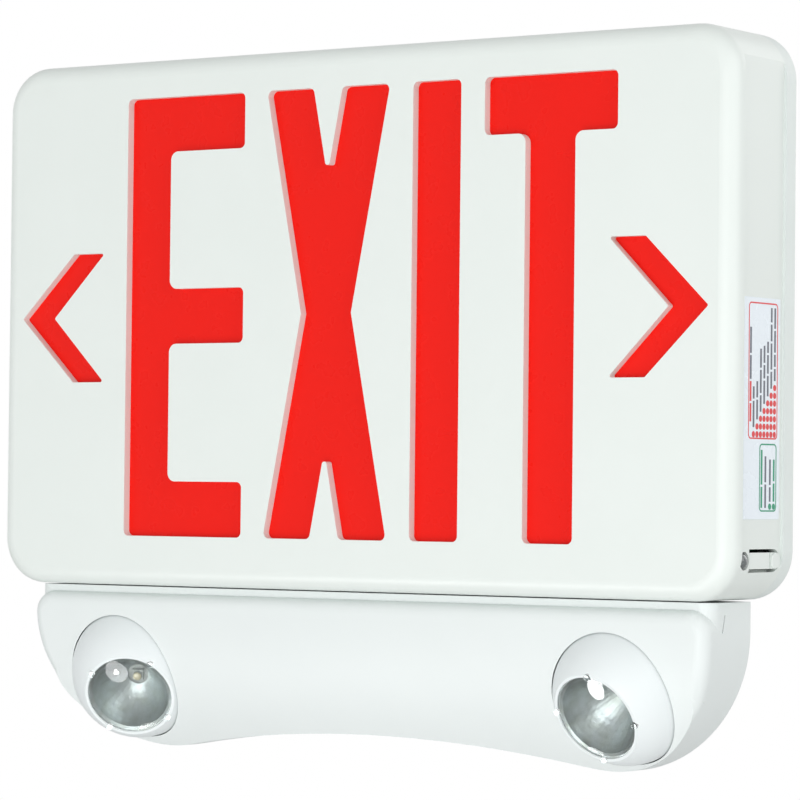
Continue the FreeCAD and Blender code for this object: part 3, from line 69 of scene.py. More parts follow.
# ---- building blocks
class NodeKit:
    """A node tree, with short ways to add and join its nodes."""

    def __init__(self, tree: bpy.types.NodeTree) -> None:
        """Keep the tree."""
        self.tree = tree

    def node(self, kind: str, settings: dict[str, object] | None = None,
             **values: object) -> bpy.types.Node:
        """Add a node, with its properties and input sockets.

        Args:
            kind: the node's type name.
            settings: the node's own properties.
            values: socket name with underscores for spaces, and a plain value or a socket.

        Returns:
            The new node.
        """
        made = self.tree.nodes.new(kind)
        for name, value in (settings or {}).items():
            setattr(made, name, value)
        for name, value in values.items():
            self.feed(made.inputs[name.replace("_", " ")], value)
        return made

    def feed(self, socket: Socket, value: object) -> None:
        """Set an input socket, or link it.

        Args:
            socket: the input.
            value: a plain value, or an output socket to link from.
        """
        if isinstance(value, Socket):
            self.tree.links.new(value, socket)
        else:
            socket.default_value = value

    def maths(self, operation: str, first: object, second: object = 0.0) -> Socket:
        """Add a sum or another operation on two values.

        Args:
            operation: the operation's name.
            first: the first value or socket.
            second: the second value or socket.

        Returns:
            The socket with the result.
        """
        made = self.node("ShaderNodeMath", {"operation": operation})
        self.feed(made.inputs[0], first)
        self.feed(made.inputs[1], second)
        return made.outputs[0]


class Graph(NodeKit):
    """A material's node tree, with its patterns in object space."""

    def __init__(self, name: str) -> None:
        """Start an empty material.

        Args:
            name: the material's name.
        """
        self.material = bpy.data.materials.new(name)
        self.material.use_nodes = True
        super().__init__(self.material.node_tree)
        self.tree.nodes.clear()
        self.output = self.tree.nodes.new("ShaderNodeOutputMaterial")
        self.place = self.node("ShaderNodeTexCoord").outputs["Object"]

    def noise(self, size: float, detail: float = 2.0) -> Socket:
        """Add a noise pattern in object space.

        Args:
            size: the size of its features in metres.
            detail: how many finer octaves it has.

        Returns:
            The socket with its value.
        """
        made = self.node("ShaderNodeTexNoise", Vector=self.place, Scale=1 / size, Detail=detail)
        return made.outputs["Fac"]

    def blend(self, amount: Socket, first: Colour, second: Colour) -> Socket:
        """Add a ramp between two colours.

        Args:
            amount: the socket that drives the ramp.
            first: the colour at the low end.
            second: the colour at the high end.

        Returns:
            The socket with the colour.
        """
        ramp = self.node("ShaderNodeValToRGB", Fac=amount)
        stops = zip(ramp.color_ramp.elements, (PATTERN_LOW, PATTERN_HIGH), (first, second))
        for stop, position, colour in stops:
            stop.position = position
            stop.color = (*colour, 1)
        return ramp.outputs["Color"]

    def spread(self, amount: Socket, low: float, high: float) -> Socket:
        """Add a map from the middle of a pattern's range to a range of values.

        Args:
            amount: the pattern's socket.
            low: the lowest value.
            high: the highest value.

        Returns:
            The socket with the value.
        """
        made = self.node("ShaderNodeMapRange", Value=amount, From_Min=PATTERN_LOW,
                         From_Max=PATTERN_HIGH, To_Min=low, To_Max=high)
        return made.outputs["Result"]

    def bump(self, height: Socket, depth: float, strength: float) -> Socket:
        """Add a bump from a pattern.

        Args:
            height: the pattern's socket.
            depth: how deep the pattern is, in metres.
            strength: how much of it shows.

        Returns:
            The socket with the normal.
        """
        made = self.node("ShaderNodeBump", Height=height, Distance=depth, Strength=strength)
        return made.outputs["Normal"]

    def finish(self, shader: Socket) -> Material:
        """Join a shader to the output.

        Args:
            shader: the shader's socket.

        Returns:
            The finished material.
        """
        self.tree.links.new(shader, self.output.inputs["Surface"])
        return self.material

    def surface(self, colour: Socket, roughness: Socket, **values: object) -> Material:
        """Finish the material with one surface shader.

        Args:
            colour: the socket with the colour.
            roughness: the socket with the roughness.
            values: the shader's other sockets.

        Returns:
            The finished material.
        """
        shader = self.node("ShaderNodeBsdfPrincipled", Base_Color=colour, Roughness=roughness,
                           **values)
        return self.finish(shader.outputs[0])


class MeshBuilder:
    """Collects faces and turns them into one object at the origin."""

    def __init__(self, name: str) -> None:
        """Start an empty mesh.

        Args:
            name: the piece's name.
        """
        self.name = name
        self.mesh = bmesh.new()

    def prism(self, outline: list[Vector], lift: Vector) -> None:
        """Add a closed prism.

        Args:
            outline: the base's corners in order.
            lift: from the base to the top.
        """
        low = [self.mesh.verts.new(point) for point in outline]
        high = [self.mesh.verts.new(point + lift) for point in outline]
        self.mesh.faces.new(list(reversed(low)))
        self.mesh.faces.new(high)
        self.wall(low, high)

    def ring(self, outer: list[Vector], inner: list[Vector], lift: Vector) -> None:
        """Add a closed ring between two outlines with as many corners each.

        Args:
            outer: the outer corners in order.
            inner: the inner corners in the same order.
            lift: from the base to the top.
        """
        rows = [[self.mesh.verts.new(point + shift) for point in loop]
                for loop, shift in ((outer, Vector()), (outer, lift),
                                    (inner, lift), (inner, Vector()))]
        for row, above in zip(rows, rows[1:] + rows[:1]):
            self.wall(row, above)

    def dome(self, radius: float, height: float, rings: int, steps: int, place: Matrix) -> None:
        """Add a closed dome that stands on the local xy plane.

        Args:
            radius: its radius at the foot.
            height: its height.
            rings: how many rings it has from the foot to the pole.
            steps: how many segments it has.
            place: the local frame's place.
        """
        pole = self.mesh.verts.new(place @ Vector((0, 0, height)))
        rows = []
        for row in range(rings):
            lift = math.pi / 2 * row / rings
            reach, rise = radius * math.cos(lift), height * math.sin(lift)
            turns = [math.tau * step / steps for step in range(steps)]
            points = [Vector((reach * math.cos(turn), reach * math.sin(turn), rise))
                      for turn in turns]
            rows.append([self.mesh.verts.new(place @ point) for point in points])
        for row, above in zip(rows, rows[1:]):
            self.wall(row, above)
        for near, far in zip(rows[-1], rows[-1][1:] + rows[-1][:1]):
            self.mesh.faces.new((near, far, pole))
        self.mesh.faces.new(list(reversed(rows[0])))

    def wall(self, low: list[bmesh.types.BMVert], high: list[bmesh.types.BMVert]) -> None:
        """Join two loops of corners with four-sided faces.

        Args:
            low: the first loop.
            high: the second loop, with as many corners.
        """
        for i, corner in enumerate(low):
            j = (i + 1) % len(low)
            self.mesh.faces.new((corner, low[j], high[j], high[i]))

    def build(self, material: Material, smooth: bool = False) -> Piece:
        """Turn the faces into an object.

        Args:
            material: its finish.
            smooth: whether its faces are shaded smooth.

        Returns:
            The object, linked to the scene.
        """
        bmesh.ops.recalc_face_normals(self.mesh, faces=self.mesh.faces)
        data = bpy.data.meshes.new(self.name)
        self.mesh.to_mesh(data)
        self.mesh.free()
        data.materials.append(material)
        for face in data.polygons:
            face.use_smooth = smooth
        made = bpy.data.objects.new(self.name, data)
        bpy.context.scene.collection.objects.link(made)
        return made


class RepeatTree(NodeKit):
    """A Geometry Nodes tree with named inputs that ends in Realize Instances and Set Material."""

    def __init__(self, name: str) -> None:
        """Start a tree with its geometry sockets.

        Args:
            name: the tree's name.
        """
        super().__init__(bpy.data.node_groups.new(name, "GeometryNodeTree"))
        for way in ("INPUT", "OUTPUT"):
            self.tree.interface.new_socket("Geometry", in_out=way,
                                           socket_type="NodeSocketGeometry")
        self.values: dict[str, tuple[str, object]] = {}
        self.start = self.tree.nodes.new("NodeGroupInput")
        self.end = self.tree.nodes.new("NodeGroupOutput")

    def size(self, name: str, value: float, whole: bool = False) -> Socket:
        """Add a named input.

        Args:
            name: the input's name.
            value: the value it gets.
            whole: whether it is a whole number.

        Returns:
            The socket inside the tree.
        """
        kind = "NodeSocketInt" if whole else "NodeSocketFloat"
        socket = self.tree.interface.new_socket(name, in_out="INPUT", socket_type=kind)
        self.values[name] = (socket.identifier, value)
        return self.start.outputs[name]

    def sizes(self, owner: object, *fields: str) -> list[Socket]:
        """Add a named input for each of an object's sizes.

        Args:
            owner: the object that holds the sizes.
            fields: the names of its fields.

        Returns:
            The sockets inside the tree, in the same order.
        """
        return [self.size(name.replace("_", " ").title(), getattr(owner, name)) for name in fields]

    def vector(self, x: object = 0.0, y: object = 0.0, z: object = 0.0) -> Socket:
        """Add a vector made of three values or sockets.

        Args:
            x: the first part.
            y: the second part.
            z: the third part.

        Returns:
            The socket with the vector.
        """
        return self.node("ShaderNodeCombineXYZ", X=x, Y=y, Z=z).outputs[0]

    def build(self, name: str, shape: Socket, material: Material,
              carrier: bpy.types.Mesh, place: Matrix) -> Piece:
        """Close the tree, run it on a carrier mesh and keep the result as a plain mesh.

        Args:
            name: the piece's name.
            shape: the geometry that the tree has made.
            material: its finish.
            carrier: the mesh whose points the tree may use.
            place: where the result goes.

        Returns:
            The finished object at the origin, with no modifier.
        """
        real = self.node("GeometryNodeRealizeInstances", Geometry=shape).outputs[0]
        dressed = self.node("GeometryNodeSetMaterial", Geometry=real, Material=material).outputs[0]
        self.tree.links.new(dressed, self.end.inputs[0])
        holder = bpy.data.objects.new(name, carrier)
        bpy.context.scene.collection.objects.link(holder)
        modifier = holder.modifiers.new("repeat", "NODES")
        modifier.node_group = self.tree
        for identifier, value in self.values.values():
            modifier[identifier] = value
        seen = holder.evaluated_get(bpy.context.evaluated_depsgraph_get())
        data = bpy.data.meshes.new_from_object(seen)
        holder.modifiers.clear()
        holder.data = data
        data.transform(place)
        data.name = name
        return holder


def frame_of(origin: Vector, x_axis: Vector, z_axis: Vector) -> Matrix:
    """Local frame from its origin and two of its axes.

    Args:
        origin: its origin.
        x_axis: the direction of its x axis.
        z_axis: the direction of its z axis, square to the x axis.

    Returns:
        The matrix from the local frame to the row's.
    """
    y_axis = z_axis.cross(x_axis)
    turn = Matrix((x_axis, y_axis, z_axis)).transposed()
    return Matrix.Translation(origin) @ turn.to_4x4()


def solid_centre(node: str) -> Vector:
    """Centre of a node's volume, from its triangles.

    Args:
        node: the node's name.

    Returns:
        The centre.
    """
    data = frame["nodes"][node].data
    data.calc_loop_triangles()
    total = 0.0
    moment = Vector()
    for triangle in data.loop_triangles:
        a, b, c = (data.vertices[i].co for i in triangle.vertices)
        volume = a.dot(b.cross(c)) / 6
        total += volume
        moment += (a + b + c) / 4 * volume
    return moment / total


def dress(material: Material, *nodes: str) -> None:
    """Give carried-over nodes a finish.

    Args:
        material: the finish.
        nodes: the nodes' names.
    """
    for node in nodes:
        slots = frame["nodes"][node].data.materials
        slots.clear()
        slots.append(material)
        LOG.info("%s: %s", node, material.name)


def add_piece(piece: Piece, body: str, slot: str, *stands_for: str) -> None:
    """Set a finished piece on its body.

    Args:
        piece: the piece.
        body: the body that it rides on.
        slot: not used.
        stands_for: the nodes that it replaces.
    """
    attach(piece, body)
    if stands_for:
        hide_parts(*stands_for)
    LOG.info("%s: rides on %s, %d faces", piece.name, body, len(piece.data.polygons))


# ---- finishes
@dataclass(frozen=True)
class Finish:
    """What most finishes share: a name and two close colours that a pattern mixes."""

    name: str
    colour: Colour
    shade: Colour


@dataclass(frozen=True)
class MouldedPlastic(Finish):
    """Moulded plastic with a fine grain, slow waves from the mould and a faint mottle."""

    roughness: float = 0.38
    grain: float = 0.6 * MM
    grain_depth: float = 0.012 * MM
    wave: float = 22 * MM
    wave_depth: float = 0.05 * MM

    def material(self) -> Material:
        """Build the material.

        Returns:
            The material.
        """
        graph = Graph(self.name)
        grain = graph.noise(self.grain, 3.0)
        wave = graph.noise(self.wave, 1.0)
        skin = graph.node("ShaderNodeBump", Height=wave, Distance=self.wave_depth, Strength=0.5,
                          Normal=graph.bump(grain, self.grain_depth, 0.6))
        return graph.surface(graph.blend(wave, self.colour, self.shade),
                             graph.spread(grain, self.roughness - 0.04, self.roughness + 0.05),
                             Normal=skin.outputs["Normal"], IOR=1.5)


@dataclass(frozen=True)
class DiffusingSheet(Finish):
    """Coloured acrylic sheet with a satin skin and a fine diffusing speckle inside."""

    roughness: float = 0.3
    sheen: float = 0.5

    def material(self) -> Material:
        """Build the material.

        Returns:
            The material.
        """
        graph = Graph(self.name)
        speckle = graph.noise(0.9 * MM, 4.0)
        skin = graph.noise(6 * MM, 2.0)
        return graph.surface(graph.blend(speckle, self.colour, self.shade),
                             graph.spread(skin, self.roughness - 0.05, self.roughness + 0.06),
                             Normal=graph.bump(skin, 0.03 * MM, 0.35), IOR=1.49,
                             Specular_IOR_Level=self.sheen)


@dataclass(frozen=True)
class TurnedMetal(Finish):
    """Metal with fine marks, and a colour that varies a little."""

    roughness: float = 0.3
    mark: float = 0.4 * MM

    def material(self) -> Material:
        """Build the material.

        Returns:
            The material.
        """
        graph = Graph(self.name)
        mark = graph.noise(self.mark, 3.0)
        tone = graph.noise(self.mark * 12, 2.0)
        return graph.surface(graph.blend(tone, self.colour, self.shade),
                             graph.spread(mark, self.roughness - 0.06, self.roughness + 0.08),
                             Metallic=1.0, Normal=graph.bump(mark, 0.01 * MM, 0.5))


@dataclass(frozen=True)
class Metallised(Finish):
    """Bright metal film in a reflector, with the slight unevenness of the moulding below it."""

    roughness: float = 0.34

    def material(self) -> Material:
        """Build the material.

        Returns:
            The material.
        """
        graph = Graph(self.name)
        ripple = graph.noise(3.5 * MM, 2.0)
        haze = graph.noise(1.2 * MM, 3.0)
        return graph.surface(graph.blend(ripple, self.colour, self.shade),
                             graph.spread(haze, self.roughness - 0.04, self.roughness + 0.06),
                             Metallic=1.0, Normal=graph.bump(ripple, 0.25 * MM, 0.5))


@dataclass(frozen=True)
class ClearCover:
    """Thin clear cover that lets the lamps' light through to what it covers."""

    name: str
    colour: Colour
    roughness: float = 0.02

    def material(self) -> Material:
        """Build the material.

        Returns:
            The material.
        """
        graph = Graph(self.name)
        ripple = graph.noise(9 * MM, 1.0)
        tint = (*self.colour, 1)
        glass = graph.node("ShaderNodeBsdfPrincipled", Base_Color=tint, Transmission_Weight=1.0,
                           Roughness=graph.spread(ripple, self.roughness, self.roughness + 0.02),
                           IOR=1.49, Normal=graph.bump(ripple, 0.02 * MM, 0.4))
        clear = graph.node("ShaderNodeBsdfTransparent", Color=tint)
        ray = graph.node("ShaderNodeLightPath")
        either = graph.node("ShaderNodeMixShader")
        sources = (ray.outputs["Is Shadow Ray"], glass.outputs[0], clear.outputs[0])
        for socket, source in zip(either.inputs, sources):
            graph.feed(socket, source)
        return graph.finish(either.outputs[0])


@dataclass(frozen=True)
class TintedResin(Finish):
    """Glossy tinted resin, with cloudy depth under a clear skin."""

    roughness: float = 0.08

    def material(self) -> Material:
        """Build the material.

        Returns:
            The material.
        """
        graph = Graph(self.name)
        cloud = graph.noise(1.4 * MM, 2.0)
        return graph.surface(graph.blend(cloud, self.colour, self.shade),
                             graph.spread(cloud, self.roughness, self.roughness + 0.05),
                             Coat_Weight=1.0, Coat_Roughness=0.03, IOR=1.53)


@dataclass(frozen=True)
class Ink(Finish):
    """Printed ink with a slightly uneven film."""

    def material(self) -> Material:
        """Build the material.

        Returns:
            The material.
        """
        graph = Graph(self.name)
        film = graph.noise(0.35 * MM, 2.0)
        return graph.surface(graph.blend(film, self.colour, self.shade),
                             graph.spread(film, 0.3, 0.42), IOR=1.48)


@dataclass(frozen=True)
class CircuitBoard(Finish):
    """Solder resist over copper tracks, which show as slightly paler lines in its shade."""

    pitch: float = 5 * MM

    def material(self) -> Material:
        """Build the material.

        Returns:
            The material.
        """
        graph = Graph(self.name)
        resist = (*self.colour, 1)
        brick = graph.node("ShaderNodeTexBrick", Vector=graph.place, Scale=1.0,
                           Mortar_Size=self.pitch * 0.07, Brick_Width=self.pitch * 1.7,
                           Row_Height=self.pitch, Color1=resist, Color2=resist,
                           Mortar=(*self.shade, 1))
        return graph.surface(brick.outputs["Color"], graph.spread(graph.noise(2 * MM), 0.3, 0.45),
                             Normal=graph.bump(brick.outputs["Fac"], 0.03 * MM, 0.5))


SIGN_WHITE = MouldedPlastic("sign_white_plastic", (0.785, 0.830, 0.800),
                            (0.776, 0.822, 0.791)).material()
BASE_WHITE = MouldedPlastic("base_white_plastic", (0.775, 0.817, 0.808), (0.767, 0.809, 0.800),
                            0.48, grain=0.9 * MM, grain_depth=0.006 * MM).material()
BALL_WHITE = MouldedPlastic("eyeball_white_plastic", (0.805, 0.848, 0.852), (0.800, 0.843, 0.847),
                            0.45, grain=0.9 * MM, grain_depth=0.002 * MM).material()
BACK_WHITE = MouldedPlastic("back_white_plastic", (0.77, 0.82, 0.80), (0.75, 0.80, 0.78), 0.5,
                            grain=0.8 * MM, grain_depth=0.03 * MM).material()
BOX_WHITE = MouldedPlastic("light_box_plastic", (0.86, 0.86, 0.85), (0.84, 0.84, 0.83),
                           0.55).material()
YOKE_BLACK = MouldedPlastic("yoke_black_plastic", (0.02, 0.02, 0.022), (0.03, 0.03, 0.03),
                            0.45).material()
TERMINAL_GREY = MouldedPlastic("terminal_grey_plastic", (0.25, 0.26, 0.26), (0.22, 0.23, 0.23),
                               0.45).material()
RELAY_BLUE = MouldedPlastic("relay_blue_plastic", (0.02, 0.06, 0.25), (0.02, 0.07, 0.28),
                            0.35).material()
BATTERY_SLEEVE = MouldedPlastic("battery_shrink_sleeve", (0.03, 0.10, 0.30), (0.04, 0.12, 0.34),
                                0.3, wave=9 * MM, wave_depth=0.2 * MM).material()
SWITCH_BLACK = MouldedPlastic("switch_black_plastic", (0.015, 0.015, 0.017), (0.02, 0.02, 0.02),
                              0.4).material()
WASHER_RUBBER = MouldedPlastic("washer_rubber", (0.02, 0.02, 0.02), (0.028, 0.028, 0.028),
                               0.75).material()
LEGEND_RED = DiffusingSheet("legend_red_sheet", (0.850, 0.008, 0.003), (0.838, 0.008, 0.003),
                            sheen=0.2).material()
LABEL_FILM = DiffusingSheet("label_film", (0.85, 0.91, 0.96), (0.83, 0.89, 0.95), 0.25).material()
SCREW_STEEL = TurnedMetal("zinc_plated_steel", (0.60, 0.61, 0.63), (0.50, 0.51, 0.52)).material()
PIN_STEEL = TurnedMetal("plain_steel", (0.48, 0.49, 0.50), (0.40, 0.41, 0.42)).material()
STRAP_STEEL = TurnedMetal("strap_steel", (0.45, 0.46, 0.47), (0.40, 0.41, 0.42), 0.4).material()
TRANSFORMER_IRON = TurnedMetal("varnished_laminations", (0.07, 0.06, 0.05), (0.10, 0.09, 0.08),
                               0.5).material()
SPREADER = TurnedMetal("turned_aluminium", (0.70, 0.71, 0.72), (0.62, 0.63, 0.64), 0.28).material()
CAPACITOR_CAN = TurnedMetal("sleeved_can", (0.05, 0.06, 0.09), (0.07, 0.08, 0.11), 0.35).material()
REFLECTOR = Metallised("reflector_metal_film", (0.31, 0.34, 0.32), (0.38, 0.42, 0.43)).material()
LENS_CLEAR = ClearCover("clear_cover", (0.97, 0.985, 0.98)).material()
STATUS_RESIN = TintedResin("status_lamp_resin", (0.06, 0.07, 0.075), (0.14, 0.16, 0.16)).material()
PHOSPHOR = TintedResin("emitter_phosphor", (0.42, 0.38, 0.26), (0.36, 0.32, 0.20), 0.25).material()
SOLDER = TurnedMetal("solder", (0.62, 0.63, 0.65), (0.52, 0.53, 0.56), 0.2, 0.3 * MM).material()
BOARD_GREEN = CircuitBoard("green_board", (0.01, 0.10, 0.035), (0.03, 0.20, 0.07)).material()
BOARD_WHITE = CircuitBoard("white_board", (0.72, 0.74, 0.72), (0.62, 0.64, 0.62),
                           3 * MM).material()
BOARD_GREY = CircuitBoard("grey_board", (0.25, 0.27, 0.26), (0.29, 0.31, 0.30), 3 * MM).material()
RED_INK = Ink("red_ink", (0.70, 0.02, 0.03), (0.76, 0.06, 0.06)).material()
GREEN_INK = Ink("green_ink", (0.01, 0.27, 0.14), (0.03, 0.33, 0.19)).material()
GREY_INK = Ink("grey_ink", (0.09, 0.10, 0.13), (0.16, 0.17, 0.21)).material()


# ---- label
class Print(Enum):
    """The inks on the side label, each with its piece's name and finish."""

    RED = ("label_print_red", RED_INK)
    GREEN = ("label_print_green", GREEN_INK)
    GREY = ("label_print_grey", GREY_INK)

    @property
    def piece(self) -> str:
        """Name of the ink's piece."""
        return self.value[0]

    @property
    def finish(self) -> Material:
        """The ink's material."""
        return self.value[1]


@dataclass
class SideLabel:
    """Printed label: a framed staircase of dots, a small framed field and rows of word-length bars.

    Places on the label are a distance back from its front edge and a height above its lower edge.
    """

    ink: float = 0.05 * MM
    line: float = 0.45 * MM
    red_field: tuple[float, float, float, float] = (2.9 * MM, 25.4 * MM, 22.0 * MM, 68.8 * MM)
    green_field: tuple[float, float, float, float] = (10.4 * MM, 2.4 * MM, 21.6 * MM, 24.0 * MM)
    corner: float = 1.6 * MM
    corner_steps: int = 6
    columns: int = 7
    column_pitch: float = 2.29 * MM
    row_pitch: float = 2.49 * MM
    first_dot: tuple[float, float] = (6.35 * MM, 26.9 * MM)
    dot_radius: float = 1.0 * MM
    green_dots: tuple[float, float] = (17.4 * MM, 19.9 * MM)
    green_dot_height: float = 4.0 * MM
    bar_width: float = 1.05 * MM
    bar_gap: float = 0.7 * MM
    words: tuple[int, ...] = (2, 2, 3, 3, 3, 4, 4)
    word_length: tuple[float, float] = (5.4, 6.8)
    dot_steps: int = 24
    seed: int = 5

    def __post_init__(self) -> None:
        """Read the label's place and start the inks' meshes."""
        self.low, self.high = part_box("status_label")
        self.random = random.Random(self.seed)
        self.meshes = {ink: MeshBuilder(ink.piece) for ink in Print}

    def point(self, back: float, up: float) -> Vector:
        """Point on the label's face.

        Args:
            back: distance back from the front edge.
            up: height above the lower edge.

        Returns:
            The point.
        """
        return Vector((self.high.x, self.low.y + back, self.low.z + up))

    def rounded(self, field_box: tuple[float, float, float, float], inset: float) -> list[Vector]:
        """Rounded rectangle.

        Args:
            field_box: front, lower, rear and upper edges.
            inset: how far inside those edges it runs.

        Returns:
            Its corners in order.
        """
        front, lower, rear, upper = field_box
        radius = self.corner - inset
        corners = ((rear, upper, 0), (front, upper, 1), (front, lower, 2), (rear, lower, 3))
        points = []
        for back, up, quarter in corners:
            centre_back = back + (self.corner if back == front else -self.corner)
            centre_up = up + (self.corner if up == lower else -self.corner)
            for step in range(self.corner_steps + 1):
                angle = math.pi / 2 * (quarter + step / self.corner_steps)
                points.append(self.point(centre_back + radius * math.cos(angle),
                                         centre_up + radius * math.sin(angle)))
        return points

    def outline(self, ink: Print, field_box: tuple[float, float, float, float]) -> None:
        """Print a field's frame.

        Args:
            ink: the ink.
            field_box: the frame's edges.
        """
        self.meshes[ink].ring(self.rounded(field_box, 0), self.rounded(field_box, self.line),
                              Vector((self.ink, 0, 0)))

    def bar(self, ink: Print, back: float, start: float, length: float) -> None:
        """Print one plain bar that runs up the label.

        Args:
            ink: the ink.
            back: the bar's middle.
            start: the height where it begins.
            length: its length.
        """
        half = self.bar_width / 2
        corners = [self.point(back - half, start), self.point(back + half, start),
                   self.point(back + half, start + length), self.point(back - half, start + length)]
        self.meshes[ink].prism(corners, Vector((self.ink, 0, 0)))

    def row(self, ink: Print, back: float, start: float, end: float, words: int) -> None:
        """Print a row of bars as long as words.

        Args:
            ink: the ink.
            back: the row's middle.
            start: the height where it begins.
            end: the height where it ends.
            words: how many bars it has.
        """
        shares = [self.random.uniform(0.6, 1.4) for _ in range(words)]
        room = end - start - self.bar_gap * (words - 1)
        for share in shares:
            length = room * share / sum(shares)
            self.bar(ink, back, start, length)
            start += length + self.bar_gap

    def staircase(self) -> Piece:
        """Make the dots: one in the first column, one more in each that follows.

        Returns:
            The piece with the dots.
        """
        tree = RepeatTree("dot_staircase")
        columns = tree.size("Columns", self.columns, whole=True)
        across, along, radius, film = tree.sizes(self, "column_pitch", "row_pitch", "dot_radius",
                                                 "ink")
        last = tree.maths("SUBTRACT", columns, 1.0)
        grid = tree.node("GeometryNodeMeshGrid", Vertices_X=columns, Vertices_Y=columns,
                         Size_X=tree.maths("MULTIPLY", last, across),
                         Size_Y=tree.maths("MULTIPLY", last, along))
        position = tree.node("GeometryNodeInputPosition").outputs[0]
        parts = tree.node("ShaderNodeSeparateXYZ", Vector=position)
        column = tree.maths("DIVIDE", parts.outputs["X"], across)
        row = tree.maths("DIVIDE", parts.outputs["Y"], along)
        above = tree.maths("GREATER_THAN", row, tree.maths("ADD", column, 0.5))
        stairs = tree.node("GeometryNodeDeleteGeometry", {"domain": "POINT"},
                           Geometry=grid.outputs["Mesh"], Selection=above)
        dot = tree.node("GeometryNodeMeshCylinder", Vertices=self.dot_steps, Radius=radius,
                        Depth=film)
        dots = tree.node("GeometryNodeInstanceOnPoints", Points=stairs.outputs[0],
                         Instance=dot.outputs["Mesh"])
        half = (self.columns - 1) / 2
        centre = self.point(self.first_dot[0] + half * self.column_pitch,
                            self.first_dot[1] + half * self.row_pitch)
        place = frame_of(centre + Vector((self.ink / 2, 0, 0)), Vector((0, 1, 0)),
                         Vector((1, 0, 0)))
        carrier = bpy.data.meshes.new("label_dots_carrier")
        return tree.build("label_dots", dots.outputs[0], RED_INK, carrier, place)

    def build(self) -> None:
        """Print the whole label."""
        self.outline(Print.RED, self.red_field)
        self.outline(Print.GREEN, self.green_field)
        front, lower, rear, upper = self.red_field
        heading = front + 1.4 * MM
        middle = lower + 0.42 * (upper - lower)
        self.row(Print.RED, heading, lower + 5.5 * MM, middle, 2)
        self.row(Print.GREY, heading, middle + self.bar_gap, upper - 8 * MM, 2)
        for column, words in enumerate(self.words):
            back = self.first_dot[0] + column * self.column_pitch
            start = self.first_dot[1] + (column + 0.9) * self.row_pitch
            reach = words * self.random.uniform(*self.word_length) * MM
            end = min(start + reach, upper - 1.5 * MM)
            self.row(Print.GREY, back, start, end, words)
        front, lower, rear, upper = self.green_field
        self.row(Print.GREEN, front + 1.5 * MM, lower + 1.2 * MM, upper - 2 * MM, 2)
        self.row(Print.GREY, front + 4.0 * MM, lower + 1.2 * MM, upper - 4 * MM, 2)
        turns = [math.tau * step / self.dot_steps for step in range(self.dot_steps)]
        for back, ink in zip(self.green_dots, (Print.GREY, Print.GREEN)):
            disc = [self.point(back + self.dot_radius * math.cos(turn),
                               self.green_dot_height + self.dot_radius * math.sin(turn))
                    for turn in turns]
            self.meshes[Print.GREEN].prism(disc, Vector((self.ink, 0, 0)))
            self.row(ink, back, self.green_dot_height + 1.6 * MM, upper - 5 * MM, 2)
        for ink, mesh in self.meshes.items():
            add_piece(mesh.build(ink.finish), "housing", "label_film")
        add_piece(self.staircase(), "housing", "label_film")


